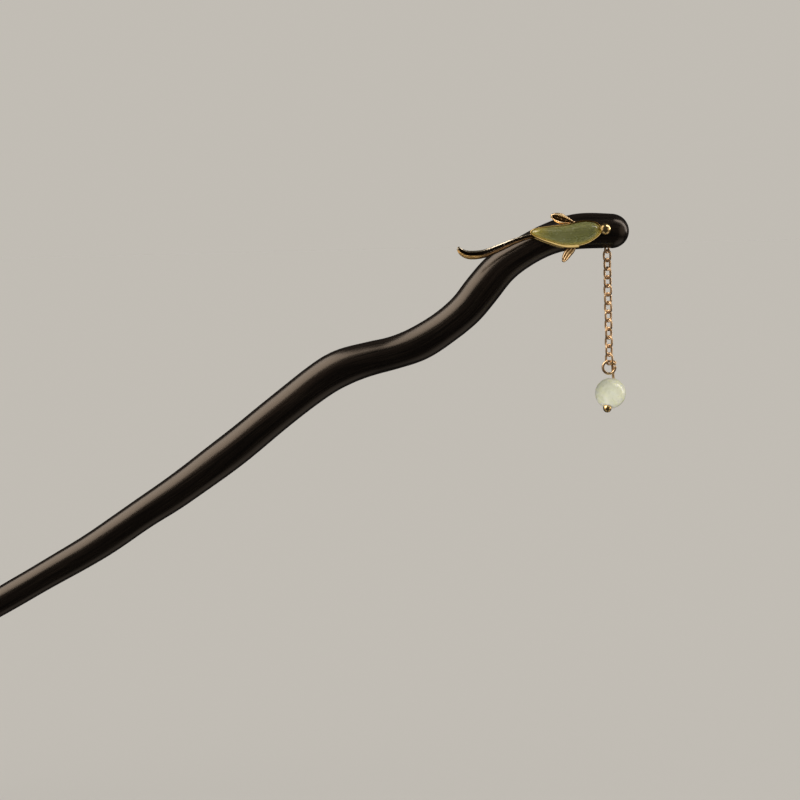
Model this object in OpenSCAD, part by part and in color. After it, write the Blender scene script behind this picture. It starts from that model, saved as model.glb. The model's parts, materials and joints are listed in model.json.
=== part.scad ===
// Wavy ebony hair stick with a gold fish set on the front of its head, and a bead drop on a fine chain.
// Millimetres. +X runs from the tip to the head, +Z is up and -Y is the front.
// The origin is the middle of the shaft, where the hair grips it.

/* [Stick] */
// Sides of the shaft's cross-section
stick_sides = 24; // [16:4:32]
// Rings between two rows of the shaft's table
stick_steps = 3; // [2:1:4]
// Rings in each rounded end
end_rings = 6; // [4:1:8]
// Distance of the fish's flat seat behind the shaft's middle plane
seat_y = 2.6; // [2.4:0.1:2.8]

/* [Fish] */
// Length of the stone
fish_length = 13.4; // [13:0.1:13.8]
// Points along each long side of the stone's outline
outline_steps = 28; // [16:4:36]
// Wall of the bezel round the stone
bezel_wall = 0.2; // [0.16:0.02:0.3]
// Height of the bezel over the base plate
bezel_height = 0.95; // [0.8:0.05:1.1]
// Thickness of the base plate
plate_thickness = 0.42; // [0.35:0.01:0.5]
// Extra thickness of the bezel's lip along the belly, at its end
lip_width = 0.34; // [0.24:0.02:0.36]
// Width of the ledge that runs on from the tail under the belly
belly_ledge = 0.5; // [0.4:0.05:0.55]
// Height of the stone's dome over the bezel
stone_rise = 1.2; // [1:0.05:1.5]
// Diameter of the ball at the nose
nose_ball_d = 2.25; // [2.1:0.05:2.35]
// Diameter of the two hidden pegs behind the plate
plate_peg_d = 1; // [0.8:0.1:1.2]

/* [Chain] */
// Number of links
link_count = 13; // [5:1:13]
// Wire of a link
link_wire = 0.42; // [0.36:0.01:0.44]
// Outer width of a link
link_width = 2; // [1.95:0.05:2.1]
// Distance between the centres of two links
link_pitch = 1.66; // [1.6:0.01:1.7]
// Gap between two wires that hang on each other
play = 0.06; // [0.05:0.01:0.1]
// Outer diameter of the eye in the head's underside
eye_d = 1.5; // [1.45:0.05:1.6]

/* [Drop] */
// Wire of the drop's pin
pin_wire = 0.5; // [0.4:0.01:0.52]
// Outer diameter of the pin's loop
loop_d = 2.9; // [2.8:0.05:3]
// Diameter of the bead
bead_d = 5.9; // [5.6:0.1:6.2]
// Radial gap of the bead's bore round the pin
bore_gap = 0.05; // [0.03:0.01:0.08]
// Diameter of the ball at the end of the pin
end_ball_d = 1.65; // [1.5:0.05:1.8]

/* [Hidden] */
function link_name(i) = str("chain_link_", i < 10 ? "0" : "", i);

WOOD = [0.09, 0.07, 0.06];
GOLD = [0.86, 0.68, 0.36];
ROSE_GOLD = [0.85, 0.63, 0.45];
GREEN_JADE = [0.55, 0.60, 0.42];
WHITE_JADE = [0.90, 0.93, 0.86];

$fn = 48;
front = [0, -1, 0];
slack = 0.03;          // gap between two pieces that are glued or wedged together
solder = 1.06;         // a wire's bends are balls this much thicker than the wire

// The shaft's middle line from the tip to the head, with its height and its depth front to back
// x, z, height, depth
stick_rows = [
    [-65.9, -37.5, 3.3, 3.2],
    [-64.3, -36.6, 3.4, 3.3],
    [-56.0, -32.1, 4.3, 4.1],
    [-45.0, -26.2, 5.0, 4.8],
    [-34.3, -20.4, 5.35, 5.1],
    [-25.2, -15.4, 5.5, 5.3],
    [-16.0, -10.3, 5.95, 5.6],
    [-7.3, -4.6, 6.1, 5.9],
    [0.0, 0.0, 6.5, 6.1],
    [10.6, 7.5, 6.95, 6.4],
    [18.8, 13.9, 6.75, 6.4],
    [27.3, 20.2, 7.0, 6.5],
    [32.0, 22.8, 7.2, 6.6],
    [37.1, 24.3, 6.6, 6.4],
    [42.0, 25.4, 6.4, 6.3],
    [46.9, 27.1, 6.75, 6.4],
    [51.8, 30.0, 6.6, 6.4],
    [56.1, 33.4, 6.8, 6.5],
    [59.4, 37.3, 7.0, 6.5],
    [63.0, 41.35, 6.7, 6.5],
    [67.6, 44.3, 6.0, 6.4],
    [72.5, 46.65, 6.15, 6.5],
    [78.0, 48.0, 6.85, 6.6],
    [84.6, 47.9, 6.7, 6.5],
    [87.9, 47.45, 6.6, 6.4]
];
end_start = 8;         // angle of the smallest ring of a rounded end

// Middle line and half height of the stone's outline, every 30 degrees from the tail to the nose
// z of the middle, half height
fish_rows = [
    [47.98, 0.00],
    [47.96, 0.67],
    [47.63, 1.33],
    [47.29, 1.93],
    [47.73, 2.12],
    [48.16, 1.29],
    [48.22, 0.00]
];
fish_x = 68.9;         // tail end of the stone
dome_spine = 2.4;      // the dome's crest stops this far from both ends of the stone
// Share of the way from the crest to the outline, share of the dome's height
dome_rows = [
    [1.00, 0.00],
    [0.88, 0.32],
    [0.75, 0.60],
    [0.61, 0.81],
    [0.45, 0.93],
    [0.27, 0.99],
    [0.08, 1.00]
];

plate_grow = bezel_wall + 0.04;
plate_back = -seat_y - slack;
plate_face = plate_back - plate_thickness;
bezel_rim = plate_face - bezel_height;
lip_end = 110;         // angle of the outline where the lip along the belly stops
ledge_start = 20;      // angles of the outline between which the ledge under the belly runs
ledge_end = 86;
lip_rise = 0.1;        // the lip stands this much before the rest of the bezel's rim
peg_places = [[73.6, 47.2], [79.6, 47.6]];
peg_length = 2.2;
ball_at = [83.05, -4.5, 48.3];

// Tail fin from the root to the tip, with its back on the middle line
// x, y, z, width, relief
tail_rows = [
    [70.6, -3.00, 47.42, 0.85, 0.8],
    [68.6, -3.18, 47.20, 0.94, 1.0],
    [65.7, -3.30, 46.35, 1.16, 1.0],
    [62.8, -3.45, 45.17, 1.42, 1.0],
    [59.8, -3.65, 44.13, 1.62, 1.0],
    [57.2, -3.80, 43.93, 1.66, 1.0],
    [55.75, -3.80, 44.38, 1.38, 0.9],
    [55.05, -3.65, 45.05, 0.90, 0.8],
    [54.95, -3.60, 45.36, 0.55, 0.6]
];
// x, y, z, width, relief
back_fin_rows = [
    [77.6, -2.95, 49.57, 0.30, 0.6],
    [76.8, -3.00, 49.80, 0.75, 0.9],
    [75.8, -3.05, 50.18, 1.35, 1.0],
    [74.7, -3.10, 50.50, 2.00, 1.0],
    [73.85, -3.15, 50.79, 1.72, 1.0],
    [73.4, -3.15, 50.92, 1.40, 1.0],
    [73.05, -3.15, 51.00, 0.95, 0.9]
];
// x, y, z, width, relief
belly_fin_rows = [
    [76.75, -2.80, 45.10, 1.65, 1.0],
    [76.4, -2.90, 44.44, 1.65, 1.0],
    [75.95, -3.05, 43.88, 1.60, 1.0],
    [75.55, -3.18, 43.30, 1.45, 1.0],
    [75.22, -3.28, 42.74, 1.15, 1.0],
    [75.0, -3.33, 42.38, 0.70, 0.9]
];
fin_steps = 4;
// Cross-sections: place across the width from the upper edge to the lower one, and height of the face
tail_profile = [
    [0.50, 0.20], [0.36, 0.42], [0.31, 0.42], [0.26, 0.22], [0.07, 0.16],
    [-0.05, 0.20], [-0.13, 0.38], [-0.27, 0.47], [-0.42, 0.38], [-0.50, 0.18]
];
leaf_profile = [
    [0.50, 0.20], [0.37, 0.44], [0.31, 0.44], [0.25, 0.20], [0.09, 0.14],
    [0.00, 0.24],
    [-0.09, 0.14], [-0.23, 0.20], [-0.32, 0.44], [-0.39, 0.44], [-0.50, 0.20]
];
ribbed_profile = [
    [0.50, 0.20], [0.38, 0.44], [0.30, 0.44], [0.18, 0.24], [0.06, 0.45],
    [-0.02, 0.45],
    [-0.14, 0.24], [-0.27, 0.44], [-0.36, 0.44], [-0.50, 0.20]
];

chain_x = 83.62;
first_link_z = 43.15;
link_length = link_pitch + 2 * link_wire + play;
last_link_z = first_link_z - (link_count - 1) * link_pitch;
link_turn = 45;

eye_wire = 0.38;
eye_z = first_link_z + link_length / 2 - link_wire - play - eye_wire + eye_d / 2;
eye_peg_d = 0.8;
eye_peg_top = 48.2;
eye_recess_top = eye_z + eye_d / 2 + 0.12;
eye_recess_d = eye_d + 0.25;

loop_radius = (loop_d - pin_wire) / 2;
loop_lift = 0.1;       // the loop rests on the sides of the last link's bend, this much above its lowest point
loop_top = last_link_z - link_length / 2 + link_wire + play + loop_lift + pin_wire;
loop_at = [chain_x - 0.06, 0, loop_top - loop_d / 2];
drop_length = 5;       // from the middle of the loop down to the middle of the bead
bead_at = [chain_x + 0.08, -0.42, loop_at[2] - drop_length];
lean_side = 15;        // the pin's top leans to the right
lean_back = 24;        // and its top leans away from the front
pin_way = [sin(lean_side) * cos(lean_back), sin(lean_back), cos(lean_side) * cos(lean_back)];
ball_sunk = 0.6;       // how far the end ball sits in the bead
end_ball_z = -(bead_d + end_ball_d) / 2 + ball_sunk;
neck_z = bead_d / 2 + 0.15;
neck_at = bead_at + pin_way * neck_z;
bar_top = loop_at + [0.64, 0.34, 1.1];
bend_at = loop_at + [1.28, 0.24, 1.03];
loop_join = 25;        // angle on the loop where the wire's bend meets it
join_at = loop_at + [loop_radius * cos(loop_join), 0, loop_radius * sin(loop_join)];

function flat(lists) = [for (list = lists) for (item = list) item];
function unit(v) = v / norm(v);

// A smooth curve through the rows of a table, straight in its first and last stretch where ends is true
function curve_row(rows, u, ends = false) =
    let (last = len(rows) - 1, i = max(0, min(floor(u), last - 1)), t = u - i)
    ends && (i == 0 || i == last - 1)
        ? rows[i] + (rows[i + 1] - rows[i]) * t
        : let (
            b = rows[i],
            c = rows[i + 1],
            a = i > 0 ? rows[i - 1] : 2 * b - c,
            d = i < last - 1 ? rows[i + 2] : 2 * c - b
        )
        (2 * b + (c - a) * t + (2 * a - 5 * b + 4 * c - d) * t * t + (3 * b - a - 3 * c + d) * t * t * t) / 2;

// A closed skin through rings of equally many points, each with a far side that mirrors its near side
module skin(rings) {
    n = len(rings[0]);
    m = n / 2;
    last = (len(rings) - 1) * n;
    walls = [
        for (k = [0:len(rings) - 2])
            for (i = [0:n - 1])
                let (a = k * n + i, b = k * n + (i + 1) % n)
                    each [[a, b, b + n], [a, b + n, a + n]]
    ];
    back_cap = [
        for (i = [1:m - 2])
            each [[i, n - i, n - i - 1], [i, n - i - 1, i + 1]]
    ];
    front_cap = [for (f = back_cap) [f[2] + last, f[1] + last, f[0] + last]];
    tips = [
        [0, n - 1, 1],
        [m - 1, m + 1, m],
        [last + 1, last + n - 1, last],
        [last + m, last + m + 1, last + m - 1]
    ];
    polyhedron(points = flat(rings), faces = concat(walls, back_cap, front_cap, tips), convexity = 6);
}

// A straight wire between two points
module rod(a, b, d) {
    v = b - a;
    translate(a)
        rotate([0, acos(v[2] / norm(v)), atan2(v[1], v[0])])
            cylinder(h = norm(v), d = d);
}

function stick_ring(u, scale) =
    let (
        p = curve_row(stick_rows, u, true),
        way = curve_row(stick_rows, u + 0.01, true) - curve_row(stick_rows, u - 0.01, true),
        t = unit([way[0], way[1]])
    )
    [
        for (i = [0:stick_sides - 1])
            let (q = 180 - i * 360 / stick_sides, up = sin(q) * scale * p[2] / 2)
                [p[0] - t[1] * up, cos(q) * scale * p[3] / 2, p[1] + t[0] * up]
    ];

module stick_body() {
    last = len(stick_rows) - 1;
    angles = [for (k = [0:end_rings]) end_start + k * (90 - end_start) / end_rings];
    skin(concat(
        [for (q = angles) stick_ring(1 - cos(q), sin(q))],
        [for (k = [1:(last - 2) * stick_steps - 1]) stick_ring(1 + k / stick_steps, 1)],
        [for (k = [0:end_rings]) let (q = angles[end_rings - k]) stick_ring(last - 1 + cos(q), sin(q))]
    ));
}

// A point of the fish's outline: side is 1 above and -1 below, grow moves it outwards
function fish_point(q, side, grow) =
    let (row = curve_row(fish_rows, q / 30))
    [
        fish_x + fish_length * (1 - cos(q)) / 2 - grow * cos(q),
        row[0] + side * (max(row[1], 0) + grow * sin(q))
    ];

function fish_outline(grow) =
    let (step = 180 / outline_steps)
    concat(
        [for (i = [0:outline_steps]) fish_point(i * step, 1, grow)],
        [for (i = [outline_steps - 1:-1:1]) fish_point(i * step, -1, grow)]
    );

// The strip of the outline along the belly between two angles, each with its own margin
function belly_outline(angles, margins) =
    let (
        n = outline_steps,
        turn = (angles[1] - angles[0]) / n,
        growth = (margins[1] - margins[0]) / n
    )
    concat(
        [for (i = [0:n]) fish_point(angles[0] + i * turn, -1, margins[0] + i * growth)],
        [for (i = [n:-1:0]) fish_point(angles[0] + i * turn, -0.2, 0)]
    );

// An outline in the picture plane, as a slab between two depths
module slab(outline, back, face) {
    translate([0, back, 0])
        rotate([90, 0, 0])
            linear_extrude(height = back - face)
                polygon(outline);
}

// The base plate, or the pocket that takes it
module fish_plate(gap, face) {
    margin = bezel_wall + belly_ledge + gap;
    turn = gap * 360 / (PI * fish_length);
    slab(fish_outline(plate_grow + gap), plate_back + gap, face);
    slab(
        belly_outline([ledge_start - turn, ledge_end + turn], [margin, margin]),
        plate_back + gap, face
    );
}

module plate_pegs(d, length) {
    for (p = peg_places)
        translate([p[0], plate_back - plate_thickness / 2, p[1]])
            rotate([-90, 0, 0])
                cylinder(h = length + plate_thickness / 2, d = d);
}

// A thin cast fin: its rows lead from the root to the tip, and the profile is its relief
module fin(rows, profile) {
    last = len(rows) - 1;
    m = len(profile) - 1;
    skin([
        for (k = [0:last * fin_steps])
            let (
                u = k / fin_steps,
                row = curve_row(rows, u),
                way = curve_row(rows, u + 0.01) - curve_row(rows, u - 0.01),
                d = unit([way[0], way[1], way[2]]),
                across = unit(cross(d, front)),
                out = cross(across, d),
                middle = [row[0], row[1], row[2]]
            )
            concat(
                [for (p = profile) middle + across * p[0] * row[3] + out * p[1] * row[4]],
                [for (i = [m - 1:-1:1]) middle + across * profile[i][0] * row[3]]
            )
    ]);
}

module stick() {
    color(WOOD)
        difference() {
            stick_body();
            fish_plate(slack, -10);
            plate_pegs(plate_peg_d + 2 * slack, peg_length + slack);
            translate([chain_x, 0, 0])
                cylinder(h = eye_recess_top, d = eye_recess_d);
            translate([chain_x, 0, 0])
                cylinder(h = eye_peg_top + slack, d = eye_peg_d + 2 * slack);
        }
}

module fish_setting() {
    color(GOLD)
        union() {
            fish_plate(0, plate_face);
            plate_pegs(plate_peg_d, peg_length);
            difference() {
                union() {
                    slab(fish_outline(bezel_wall), plate_face + 0.1, bezel_rim);
                    slab(
                        belly_outline([0, lip_end], [bezel_wall, bezel_wall + lip_width]),
                        plate_face + 0.1, bezel_rim - lip_rise
                    );
                    translate(ball_at)
                        sphere(d = nose_ball_d);
                    fin(tail_rows, tail_profile);
                    fin(back_fin_rows, leaf_profile);
                    fin(belly_fin_rows, ribbed_profile);
                }
                slab(fish_outline(0), plate_face, bezel_rim - stone_rise);
            }
        }
}

// A ring of the stone: spread is its share of the way from the crest to the outline, rise its share of the dome
function stone_ring(y, spread, rise) =
    let (outline = fish_outline(-slack), n = len(outline), low = fish_x + dome_spine)
    [
        for (i = [0:n - 1])
            let (
                p = outline[i],
                crest = [
                    min(max(p[0], low), fish_x + fish_length - dome_spine),
                    (p[1] + outline[(n - i) % n][1]) / 2
                ],
                s = crest + (p - crest) * spread,
                full = min(1, 0.62 + (crest[0] - low) / 8)
            )
            [s[0], y - stone_rise * full * rise, s[1]]
    ];

module fish_stone() {
    color(GREEN_JADE)
        skin(concat(
            [stone_ring(plate_face - slack, 1, 0)],
            [for (row = dome_rows) stone_ring(bezel_rim - slack, row[0], row[1])]
        ));
}

// A round ring of wire that stands on its edge and faces the front
module wire_ring(d, wire) {
    rotate([90, 0, 0])
        rotate_extrude()
            translate([(d - wire) / 2, 0])
                circle(d = wire);
}

module chain_eye() {
    color(ROSE_GOLD)
        translate([chain_x, 0, 0])
            union() {
                translate([0, 0, eye_z])
                    rotate([0, 0, link_turn])
                        wire_ring(eye_d, eye_wire);
                translate([0, 0, eye_z + eye_d / 2 - eye_wire / 2])
                    cylinder(h = eye_peg_top - eye_z - eye_d / 2 + eye_wire / 2, d = eye_peg_d);
            }
}

module link_end() {
    rotate([90, 0, 0])
        rotate_extrude(angle = 180)
            translate([(link_width - link_wire) / 2, 0])
                circle(d = link_wire);
}

module chain_link(i) {
    side = (link_width - link_wire) / 2;
    straight = link_length - link_width;
    color(ROSE_GOLD)
        translate([chain_x, 0, first_link_z - (i - 1) * link_pitch])
            rotate([0, 0, i % 2 == 1 ? -link_turn : link_turn])
                union() {
                    translate([0, 0, straight / 2])
                        link_end();
                    translate([0, 0, -straight / 2])
                        rotate([180, 0, 0])
                            link_end();
                    for (s = [-1, 1])
                        translate([s * side, 0, -straight / 2])
                            cylinder(h = straight, d = link_wire);
                }
}

// The bead's own frame: its centre, with Z up along the pin
module on_pin() {
    translate(bead_at)
        rotate([0, acos(pin_way[2]), atan2(pin_way[1], pin_way[0])])
            children();
}

module drop_pin() {
    color(ROSE_GOLD)
        union() {
            translate(loop_at)
                wire_ring(loop_d, pin_wire);
            on_pin()
                translate([0, 0, end_ball_z])
                    cylinder(h = neck_z - end_ball_z, d = pin_wire);
            on_pin()
                translate([0, 0, end_ball_z])
                    sphere(d = end_ball_d);
            rod(neck_at, bar_top, pin_wire);
            rod(bar_top, bend_at, pin_wire);
            rod(bend_at, join_at, pin_wire);
            for (p = [neck_at, bar_top, bend_at])
                translate(p)
                    sphere(d = pin_wire * solder);
        }
}

module drop_bead() {
    color(WHITE_JADE)
        on_pin()
            difference() {
                sphere(d = bead_d);
                translate([0, 0, -bead_d])
                    cylinder(h = 2 * bead_d, d = pin_wire + 2 * bore_gap);
                translate([0, 0, end_ball_z])
                    sphere(d = end_ball_d + 2 * bore_gap);
            }
}

stick();
fish_setting();
fish_stone();
chain_eye();
for (i = [1:link_count])
    chain_link(i);
drop_pin();
drop_bead();
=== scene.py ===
"""Dresses a packed hair stick: polished ebony, a gold fish with a green stone, a fine chain and a bead drop.

The shapes are worked out in millimetres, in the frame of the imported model: +X from the tip to the head,
+Z up and -Y the front. Meshes are written in metres.
"""

import json
import logging
import math
from dataclasses import dataclass, field
from enum import Enum

import bmesh
import bpy
import numpy as np
from mathutils import Matrix, Vector
from mathutils.kdtree import KDTree

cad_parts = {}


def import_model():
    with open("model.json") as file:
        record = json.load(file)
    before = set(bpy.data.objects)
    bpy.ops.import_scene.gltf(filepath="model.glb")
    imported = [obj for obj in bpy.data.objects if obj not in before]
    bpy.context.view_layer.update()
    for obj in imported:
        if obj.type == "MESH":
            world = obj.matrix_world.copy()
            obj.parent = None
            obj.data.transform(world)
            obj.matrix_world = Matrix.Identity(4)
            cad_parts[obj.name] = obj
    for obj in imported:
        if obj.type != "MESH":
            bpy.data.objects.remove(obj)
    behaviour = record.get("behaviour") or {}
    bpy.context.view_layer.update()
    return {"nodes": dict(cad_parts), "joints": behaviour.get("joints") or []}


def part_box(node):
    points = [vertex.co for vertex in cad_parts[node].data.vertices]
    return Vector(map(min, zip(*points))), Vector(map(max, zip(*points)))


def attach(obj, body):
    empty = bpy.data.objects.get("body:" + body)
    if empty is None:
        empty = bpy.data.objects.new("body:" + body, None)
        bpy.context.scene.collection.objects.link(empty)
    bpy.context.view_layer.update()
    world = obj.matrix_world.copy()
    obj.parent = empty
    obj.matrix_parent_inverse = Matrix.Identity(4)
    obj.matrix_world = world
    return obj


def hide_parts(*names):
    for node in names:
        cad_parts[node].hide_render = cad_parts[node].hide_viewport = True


LOG = logging.getLogger("hair_stick")
MM = 0.001  # metres in a millimetre
GRAIN = "grain"  # attribute with each point's place on the straightened shaft
SHADE_AND_GLOW = "tone"  # attribute that paints shade into the hollows and some faces of metal, and lets gold show through stone
BUMP_DEPTH = 0.02  # depth of every bump, in millimetres
HEADING_STEP = 0.01  # how far ahead and behind a curve's direction is measured, in rows of its table
POLE_ANGLE = 0.004  # radians that a ball's profile leaves open at each pole, for its cap

Rows = tuple[tuple[float, ...], ...]
Span = tuple[float, float]
Triple = tuple[float, float, float]
Inputs = dict[str | int, object]
Materials = list[bpy.types.Material]
Socket = bpy.types.NodeSocket


class Body(Enum):
    """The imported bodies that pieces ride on."""

    STICK = "stick_body"
    DROP = "drop"
    BEAD = "bead"


class Slot(Enum):
    """The record's material slots."""

    EBONY = "ebony"
    GOLD = "gold"
    ROSE_GOLD = "rose_gold"
    GREEN_JADE = "green_jade"
    WHITE_JADE = "white_jade"


class Cap(Enum):
    """How the first and last ring of a loft are closed."""

    FAN = "fan"
    PAIRED = "paired"


class Relief(Enum):
    """The cast relief on the face of a fin, as places across its width and heights in millimetres."""

    TAIL = (
        (0.50, 0.17), (0.495, 0.25), (0.475, 0.31), (0.42, 0.36), (0.365, 0.415), (0.34, 0.425),
        (0.315, 0.42), (0.295, 0.38), (0.275, 0.27), (0.25, 0.20), (0.16, 0.165), (0.06, 0.155),
        (-0.02, 0.18), (-0.06, 0.25), (-0.10, 0.34), (-0.14, 0.41), (-0.21, 0.45), (-0.28, 0.475),
        (-0.36, 0.44), (-0.43, 0.37), (-0.48, 0.27), (-0.50, 0.16),
    )
    LEAF = (
        (0.50, 0.17), (0.485, 0.25), (0.45, 0.35), (0.40, 0.42), (0.34, 0.46), (0.28, 0.475),
        (0.235, 0.455), (0.205, 0.36), (0.18, 0.24), (0.15, 0.17), (0.10, 0.14), (0.04, 0.16),
        (0.00, 0.21), (-0.05, 0.24), (-0.10, 0.19), (-0.15, 0.14), (-0.20, 0.15), (-0.25, 0.24),
        (-0.30, 0.36), (-0.35, 0.44), (-0.39, 0.46), (-0.43, 0.43), (-0.47, 0.33), (-0.50, 0.17),
    )
    RIBBED = (
        (0.50, 0.17), (0.49, 0.22), (0.44, 0.33), (0.39, 0.43), (0.35, 0.455), (0.31, 0.43),
        (0.27, 0.34), (0.22, 0.25), (0.18, 0.25), (0.12, 0.35), (0.07, 0.44), (0.02, 0.46),
        (-0.03, 0.43), (-0.08, 0.34), (-0.12, 0.26), (-0.16, 0.25), (-0.22, 0.34), (-0.28, 0.43),
        (-0.33, 0.455), (-0.38, 0.43), (-0.44, 0.33), (-0.49, 0.23), (-0.50, 0.17),
    )


def curve_rows(rows: Rows, u: np.ndarray, straight_ends: bool = False) -> np.ndarray:
    """Samples a smooth curve that passes through the rows of a table.

    Args:
        rows: The table, one row for each station.
        u: Places to sample at, where 0 is the first row and 1 the second.
        straight_ends: Whether the first and last stretch are straight.

    Returns:
        One row of values for each place.
    """
    table = np.asarray(rows, float)
    last = len(table) - 1
    i = np.clip(np.floor(u).astype(int), 0, last - 1)
    t = (u - i)[:, None]
    b, c = table[i], table[i + 1]
    a = np.where((i > 0)[:, None], table[np.maximum(i - 1, 0)], 2 * b - c)
    d = np.where((i < last - 1)[:, None], table[np.minimum(i + 2, last)], 2 * c - b)
    bend = (2 * a - 5 * b + 4 * c - d) * t**2 + (3 * b - a - 3 * c + d) * t**3
    curve = (2 * b + (c - a) * t + bend) / 2
    if straight_ends:
        ends = ((i == 0) | (i == last - 1))[:, None]
        curve = np.where(ends, b + (c - b) * t, curve)
    return curve


def headings(rows: Rows, u: np.ndarray, straight_ends: bool = False) -> np.ndarray:
    """Works out which way the curve through a table's rows runs.

    Args:
        rows: The table, one row for each station.
        u: Places along it, as in curve_rows.
        straight_ends: Whether the first and last stretch are straight.

    Returns:
        One row of small changes for each place.
    """
    ahead = curve_rows(rows, u + HEADING_STEP, straight_ends)
    return ahead - curve_rows(rows, u - HEADING_STEP, straight_ends)


def unit(v: np.ndarray) -> np.ndarray:
    """Scales each vector to length one."""
    return v / np.linalg.norm(v, axis=-1, keepdims=True)


def side_of(way: np.ndarray) -> np.ndarray:
    """A direction square to another one and to +Y, or +Z where the other one is +Y itself."""
    side = np.cross(way, (0.0, 1.0, 0.0))
    return unit(side) if side.any() else np.array([0.0, 0.0, 1.0])


def smoothed(values: np.ndarray, passes: int) -> np.ndarray:
    """Evens out rows of values along their order and keeps the first and last row.

    Args:
        values: The rows.
        passes: How often each row is mixed with its two neighbours.

    Returns:
        The evened rows.
    """
    out = values.copy()
    for _ in range(passes):
        out[1:-1] = (out[:-2] + 2 * out[1:-1] + out[2:]) / 4
    return out


def lengths_along(points: np.ndarray) -> np.ndarray:
    """The length of a path up to each of its points."""
    return np.r_[0, np.cumsum(np.linalg.norm(np.diff(points, axis=0), axis=1))]


def even_path(points: np.ndarray, step: float) -> np.ndarray:
    """Spaces the points of a path evenly.

    Args:
        points: The path's own points.
        step: Distance between the new points.

    Returns:
        The new points.
    """
    lengths = lengths_along(points)
    places = np.linspace(0, lengths[-1], round(lengths[-1] / step))
    return np.stack([np.interp(places, lengths, points[:, k]) for k in range(3)], 1)


def full_turn(sides: int) -> np.ndarray:
    """The evenly spaced angles of one full turn."""
    return np.linspace(0, math.tau, sides, endpoint=False)


def rounded_edge(radius: float, points: int) -> np.ndarray:
    """A quarter round, as rows of how far in and how far down it lies from the corner that it rounds."""
    q = np.linspace(0, math.pi / 2, points)
    return radius * (1 - np.stack([np.cos(q), np.sin(q)], 1))


def ball_profile(diameter: float, rings: int) -> np.ndarray:
    """The half circle of a ball, as rows of radius and distance along the axis."""
    a = np.linspace(POLE_ANGLE, math.pi - POLE_ANGLE, rings)
    return np.stack([np.sin(a), -np.cos(a)], 1) * diameter / 2


def lathe(
    profile: np.ndarray, origin: Triple | np.ndarray, axis: Triple | np.ndarray, sides: int
) -> np.ndarray:
    """Turns a profile round an axis.

    Args:
        profile: Rows of radius and distance along the axis.
        origin: The point that the distances start from.
        axis: The direction of the axis.
        sides: Points in each ring.

    Returns:
        One ring of points for each row of the profile.
    """
    z = unit(np.asarray(axis, float))
    x = side_of(z)
    y = np.cross(z, x)
    a = full_turn(sides)[None, :, None]
    radius, along = profile[:, 0, None, None], profile[:, 1, None, None]
    return np.asarray(origin) + along * z + radius * (np.cos(a) * x + np.sin(a) * y)


def tube(path: np.ndarray, radii: np.ndarray, sides: int) -> np.ndarray:
    """Sweeps a round section along a path without twisting it.

    Args:
        path: The points of the middle line.
        radii: The radius at each point.
        sides: Points in each ring.

    Returns:
        One ring of points for each point of the path.
    """
    way = unit(np.gradient(path, axis=0))
    side = np.zeros_like(path)
    side[0] = side_of(way[0])
    for k in range(1, len(path)):
        side[k] = unit(side[k - 1] - way[k] * np.dot(side[k - 1], way[k]))
    other = np.cross(way, side)
    a = full_turn(sides)[None, :, None]
    ring = np.cos(a) * side[:, None] + np.sin(a) * other[:, None]
    return path[:, None] + ring * radii[:, None, None]


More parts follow.
